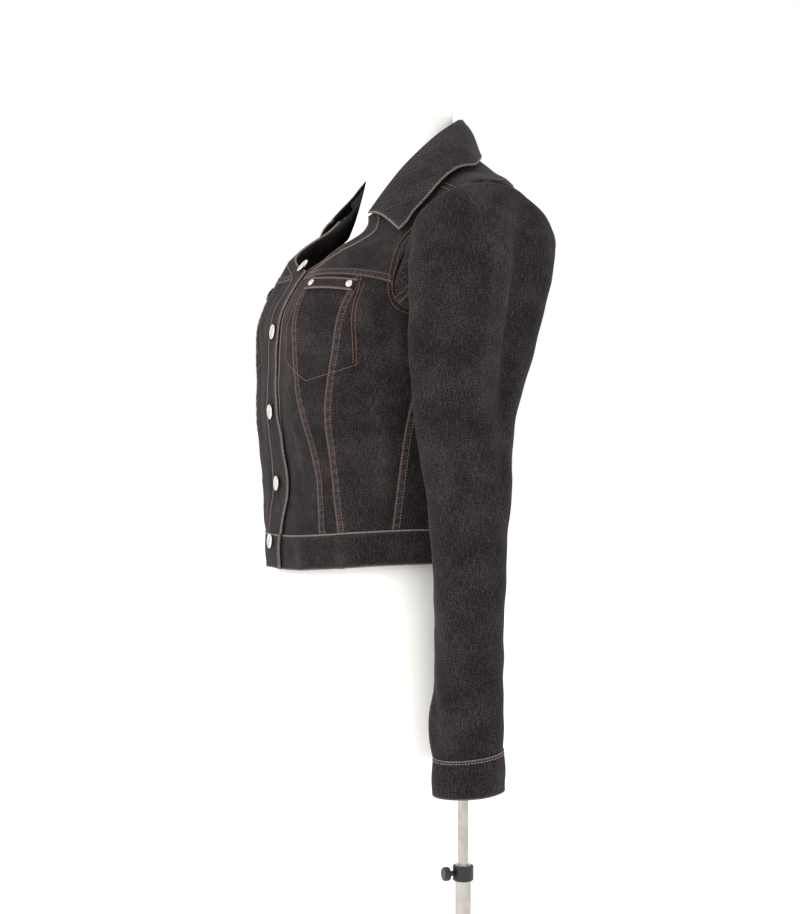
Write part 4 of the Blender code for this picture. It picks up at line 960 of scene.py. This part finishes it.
for side, tag, surface in both_sides(sleeve_at):
    for stem, low, high, lapped, width, length, area in SLEEVE_PANELS:
        sleeve = Panel(surface, (0.0, 12.0), steady(math.radians(low)), steady(math.radians(high)),
                       sign=-side, strips=lapped, worn=lapped, rub=0.4, creases=SLEEVE_CREASES[tag],
                       crease_on=surface)
        sleeve.build(f"{stem}_{tag}", flat=(width, length), area=area)
        if lapped:
            sew_twice("sleeves", sleeve, lapped, start=0.02)

# ---- Cuffs ----
# A doubled band closes each sleeve at the wrist, one row of stitching along its top in paler thread as a
# painted highlight.
CUFF_CREASES = (
    ((0.0, 30), (1.8, 34), 0.0045, -0.0008), ((0.1, 76), (1.9, 72), 0.0050, -0.0007),
    ((0.0, 118), (1.9, 122), 0.0050, 0.0007), ((0.0, 160), (1.8, 158), 0.0045, -0.0008),
    ((0.0, 250), (1.9, 246), 0.0050, -0.0008), ((0.1, 318), (1.9, 322), 0.0045, 0.0007),
)
cuff_table = np.array([row[1:] for row in CUFF_RINGS])


def cuff_at(s, angle):
    s, angle = np.broadcast_arrays(np.asarray(s, float), np.asarray(angle, float))
    return ring_point([through(cuff_table[:, c], s) for c in range(8)], np.degrees(angle))


CUFF_JOIN = math.radians(SEAM_BACK_ARM)
for side, tag, surface in both_sides(cuff_at):
    cuff = Panel(surface, (0.0, 2.0), steady(CUFF_JOIN), steady(CUFF_JOIN + 2 * math.pi), sign=-side,
                 worn="bt", wall=DOUBLED, creases=CUFF_CREASES, crease_on=surface)
    cuff.build(f"cuff_{tag}", flat=(0.230, 0.041), area=0.0093, step=0.0020)
    sew("light", cuff.row("b", 0.0012))

# ---- Topstitching ----
# Copper-brown polyester thread at about eight stitches an inch, in two rows on lapped edges. Rows at the
# collar, waistband and cuffs, which take the light most, get a paler thread as a painted highlight. Each
# stitch is one raised bar of thread.
STITCH_EVERY, STITCH_LONG, THREAD_HALF = 0.0033, 0.0026, 0.00036
STITCH_RINGS = (
    # place along the bar, height over the cloth, share of the thickness
    (-0.5, -0.0004, 0.5), (-0.25, 0.0001, 1.0), (0.25, 0.0001, 1.0), (0.5, -0.0004, 0.5),
)


def thread(name, dark, pale):
    made, tree, shader = new_finish(name, Roughness=0.55, Sheen_Weight=0.2, Sheen_Roughness=0.4)
    place = node(tree, "ShaderNodeTexCoord").outputs["Object"]
    twist = node(tree, "ShaderNodeTexNoise", [("Vector", place), ("Scale", 260.0), ("Detail", 1.0)])
    dull = node(tree, "ShaderNodeMix", [("Factor", twist.outputs["Fac"]), ("A", linear(dark)),
                                        ("B", linear(pale))], data_type="RGBA")
    feed(shader, Base_Color=dull.outputs["Result"])
    return made


THREADS = {
    "body": thread("copper-brown thread", "#6B4433", "#A0705A"),
    "sleeves": thread("copper-brown thread, sleeves", "#6B4433", "#A0705A"),
    # Painted highlight: a paler copy of the thread for the rows that take the light most.
    "light": thread("rubbed pale thread", "#8A6A60", "#C2A79E"),
}


def stitches(rows):
    """Points and faces of thread bars set end to end along the rows."""
    points, faces = [], []
    for line, normal in rows:
        run = np.concatenate([[0], np.cumsum(np.linalg.norm(np.diff(line, axis=0), axis=1))])
        centre = np.arange(STITCH_EVERY / 2, run[-1] - STITCH_EVERY / 2, STITCH_EVERY)
        if not len(centre):
            continue
        rings = []
        for offset, sink, thick in STITCH_RINGS:
            at = centre + offset * STITCH_LONG
            point = np.stack([np.interp(at, run, line[:, c]) for c in range(3)], -1)
            ahead = np.stack([np.interp(at + 0.0005, run, line[:, c]) for c in range(3)], -1)
            up = unit(np.stack([np.interp(at, run, normal[:, c]) for c in range(3)], -1))
            side = unit(np.cross(up, ahead - point + 1e-9))
            half = THREAD_HALF * thick
            rings.append([point + up * sink + side * half, point + up * (sink + half),
                          point + up * sink - side * half, point + up * (sink - half)])
        block = np.array(rings)  # ring, corner, stitch, xyz
        block = block.transpose(2, 0, 1, 3).reshape(-1, 3)
        start = sum(len(p) for p in points)
        one = [(r * 4 + c, r * 4 + (c + 1) % 4, r * 4 + 4 + (c + 1) % 4, r * 4 + 4 + c)
               for r in range(3) for c in range(4)] + [(3, 2, 1, 0), (12, 13, 14, 15)]
        base = start + np.arange(len(centre))[:, None, None] * 16
        faces += (base + np.array(one)[None]).reshape(-1, 4).tolist()
        points.append(block)
    return np.concatenate(points), faces


for group, rows in stitch_rows.items():
    add_mesh(f"stitching_{group}", *stitches(rows), THREADS[group], "denim")

# ---- Buttons and rivets ----
# Turned nickel-plated brass: a raised rim round a dished face with a plain ringed boss on each button, and a
# low dome with a centre nub on each rivet. Each button is pinned through the right front on its shank.
nickel, tree, shader = new_finish("bright nickel plate", Metallic=1.0, Roughness=0.24)
place = node(tree, "ShaderNodeTexCoord").outputs["Object"]
scuffs = node(tree, "ShaderNodeTexNoise", [("Vector", place), ("Scale", 900.0), ("Detail", 3.0)])
shade = node(tree, "ShaderNodeValToRGB", [("Fac", scuffs.outputs["Fac"])])
rough = node(tree, "ShaderNodeMapRange", [("Value", scuffs.outputs["Fac"]), ("To Min", 0.16),
                                          ("To Max", 0.36)])
feed(shader, Base_Color=set_stops(shade, (0.35, "#C9C6C0"), (0.7, "#EFEDE8")),
     Roughness=rough.outputs["Result"])

BUTTON_PROFILE = (  # radius, height, in metres
    (0.0, 0.0), (0.0032, 0.0), (0.0032, 0.0011), (0.0076, 0.0012), (0.0084, 0.0017),
    (0.0086, 0.0024), (0.0083, 0.0031), (0.0076, 0.0035), (0.0070, 0.0034), (0.0066, 0.0029),
    (0.0056, 0.0027), (0.0046, 0.0028), (0.0043, 0.0031), (0.0039, 0.0032), (0.0035, 0.0030),
    (0.0018, 0.0029), (0.0010, 0.0031), (0.0, 0.0032),
)
RIVET_PROFILE = (
    (0.0, 0.0), (0.0040, 0.0), (0.0042, 0.0003), (0.0041, 0.0007), (0.0034, 0.0013), (0.0024, 0.0016),
    (0.0018, 0.0015), (0.0014, 0.0018), (0.0007, 0.0021), (0.0, 0.0021),
)


def lathe(name, profile, foot, along, steps):
    """A turned piece for the CAD node of this name, its (radius, height) profile standing at foot."""
    turn = np.array(Vector((0, 0, 1)).rotation_difference(Vector(along).normalized()).to_matrix())
    angles = np.linspace(0, 2 * math.pi, steps + 1)[:-1]
    rings = np.array([[(r * math.cos(a), r * math.sin(a), h) for a in angles] for r, h in profile])
    made = add_mesh(f"{name}_metal", rings.reshape(-1, 3) @ turn.T + np.array(foot),
                    grid_faces(len(profile), steps, closed=True), nickel, "button_metal")
    made.modifiers.new("axis", "WELD").merge_threshold = 2e-6
    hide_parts(name)


BUTTONS = ((0.934, "waistband", 0.0003), (1.000, "waist", 0.0004), (1.082, "midriff", 0.0004),
           (1.172, "bust", 0.0004), (1.243, "yoke", 0.0013))
front_levels = np.linspace(HEM, TIP, 400)
front_heights = body(front_levels, 0.0)[:, 2]
for height, where, seat in BUTTONS:
    t = float(np.interp(height, front_heights, front_levels))
    wall = DOUBLED if where == "waistband" else PLACKET_WALL
    foot = raised(t, 0.0, float(overlap(t, 0.0)) + wall + seat)
    lathe(f"button_{where}", BUTTON_PROFILE, foot, outward(t, 0.0), steps=64)
RIVET_T, RIVET_ANGLES = 5.69, (23.8, 43.2)
for side, tag in SIDES:
    for n, degrees in enumerate(RIVET_ANGLES, start=1):
        angle = math.radians(degrees) * side
        off = float(overlap(RIVET_T, angle)) if side < 0 else 0.0
        foot = raised(RIVET_T, angle, off + WELT_LIFT + WELT_WALL)
        lathe(f"rivet_{tag}{n}", RIVET_PROFILE, foot, outward(RIVET_T, angle), steps=40)

# ---- Stand ----
# A chromed steel pole slides in a chromed tube on a round chromed base; a black moulded clamp with a thumb
# screw holds the height. These keep their turned CAD shapes and take their finishes here.
chrome, tree, shader = new_finish("polished chrome plate", Metallic=1.0, Roughness=0.1)
place = node(tree, "ShaderNodeTexCoord").outputs["Object"]
haze = node(tree, "ShaderNodeTexNoise", [("Vector", place), ("Scale", 60.0), ("Detail", 4.0)])
shade = node(tree, "ShaderNodeValToRGB", [("Fac", haze.outputs["Fac"])])
rough = node(tree, "ShaderNodeMapRange", [("Value", haze.outputs["Fac"]), ("To Min", 0.06), ("To Max", 0.18)])
feed(shader, Base_Color=set_stops(shade, (0.3, "#A09C95"), (0.7, "#B7B3AC")),
     Roughness=rough.outputs["Result"])

abs_black, tree, shader = new_finish("black moulded ABS", Roughness=0.45, Base_Color=linear("#161616"))
place = node(tree, "ShaderNodeTexCoord").outputs["Object"]
grain = node(tree, "ShaderNodeTexNoise", [("Vector", place), ("Scale", 1400.0)])
bump = node(tree, "ShaderNodeBump", [("Height", grain.outputs["Fac"]), ("Strength", 0.2),
                                     ("Distance", 0.0002)])
feed(shader, Normal=bump.outputs["Normal"])

for finish, names in ((chrome, ("pole", "lower_tube", "base_socket", "base_plate")),
                      (abs_black, ("clamp_collar", "clamp_knob"))):
    for name in names:
        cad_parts[name].data.materials.clear()
        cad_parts[name].data.materials.append(finish)

# ---- Floor, light and camera ----
# A white sweep of floor under broad soft lights, seen level from the wearer's left front at 1.95 m.
sweep, _, _ = new_finish("white paper sweep", Roughness=0.9, Base_Color=linear("#FAFAFA"),
                         Emission_Color=(1.0, 1.0, 1.0, 1.0), Emission_Strength=0.35)
floor_mesh = bpy.data.meshes.new("floor")
FLOOR = 30.0
corners = ((-FLOOR, -FLOOR, 0), (FLOOR, -FLOOR, 0), (FLOOR, FLOOR, 0), (-FLOOR, FLOOR, 0))
floor_mesh.from_pydata(corners, [], [(0, 1, 2, 3)])
floor = bpy.data.objects.new("floor", floor_mesh)
bpy.context.scene.collection.objects.link(floor)
floor_mesh.materials.append(sweep)

world = bpy.data.worlds.new("white studio")
world.use_nodes = True
sky = world.node_tree.nodes["Background"].inputs
sky["Color"].default_value, sky["Strength"].default_value = (1.0, 1.0, 1.0, 1.0), 1.0
bpy.context.scene.world = world
bpy.context.scene.view_settings.view_transform = "Standard"

LIGHTS = (
    # name,      place,              aimed at,         size, watts
    ("key",      (0.2, -2.6, 2.2),   (0.0, 0.0, 1.1),  1.4,  26.0),
    ("side",     (2.8, -0.4, 1.9),   (0.1, 0.0, 1.0),  1.6,   9.0),
    ("top",      (0.3, 0.4, 3.2),    (0.0, 0.0, 1.2),  1.2,   8.0),
)
for name, spot, target, size, watts in LIGHTS:
    lamp = bpy.data.lights.new(name, "AREA")
    lamp.size, lamp.energy = size, watts
    lamp_object = bpy.data.objects.new(name, lamp)
    lamp_object.location = spot
    lamp_object.rotation_euler = (Vector(target) - Vector(spot)).to_track_quat("-Z", "Y").to_euler()
    bpy.context.scene.collection.objects.link(lamp_object)

CAMERA_HEIGHT, CAMERA_AWAY, CAMERA_FROM = 1.03, 1.95, math.radians(70)
LENS, SHIFT = 65.66, 0.0131
camera_data = bpy.data.cameras.new("camera")
camera_data.lens, camera_data.sensor_width, camera_data.shift_x = LENS, 36.0, SHIFT
camera = bpy.data.objects.new("camera", camera_data)
camera.location = (math.sin(CAMERA_FROM) * CAMERA_AWAY, -math.cos(CAMERA_FROM) * CAMERA_AWAY, CAMERA_HEIGHT)
camera.rotation_euler = (math.pi / 2, 0.0, CAMERA_FROM)
bpy.context.scene.collection.objects.link(camera)
bpy.context.scene.camera = camera

bpy.context.view_layer.update()
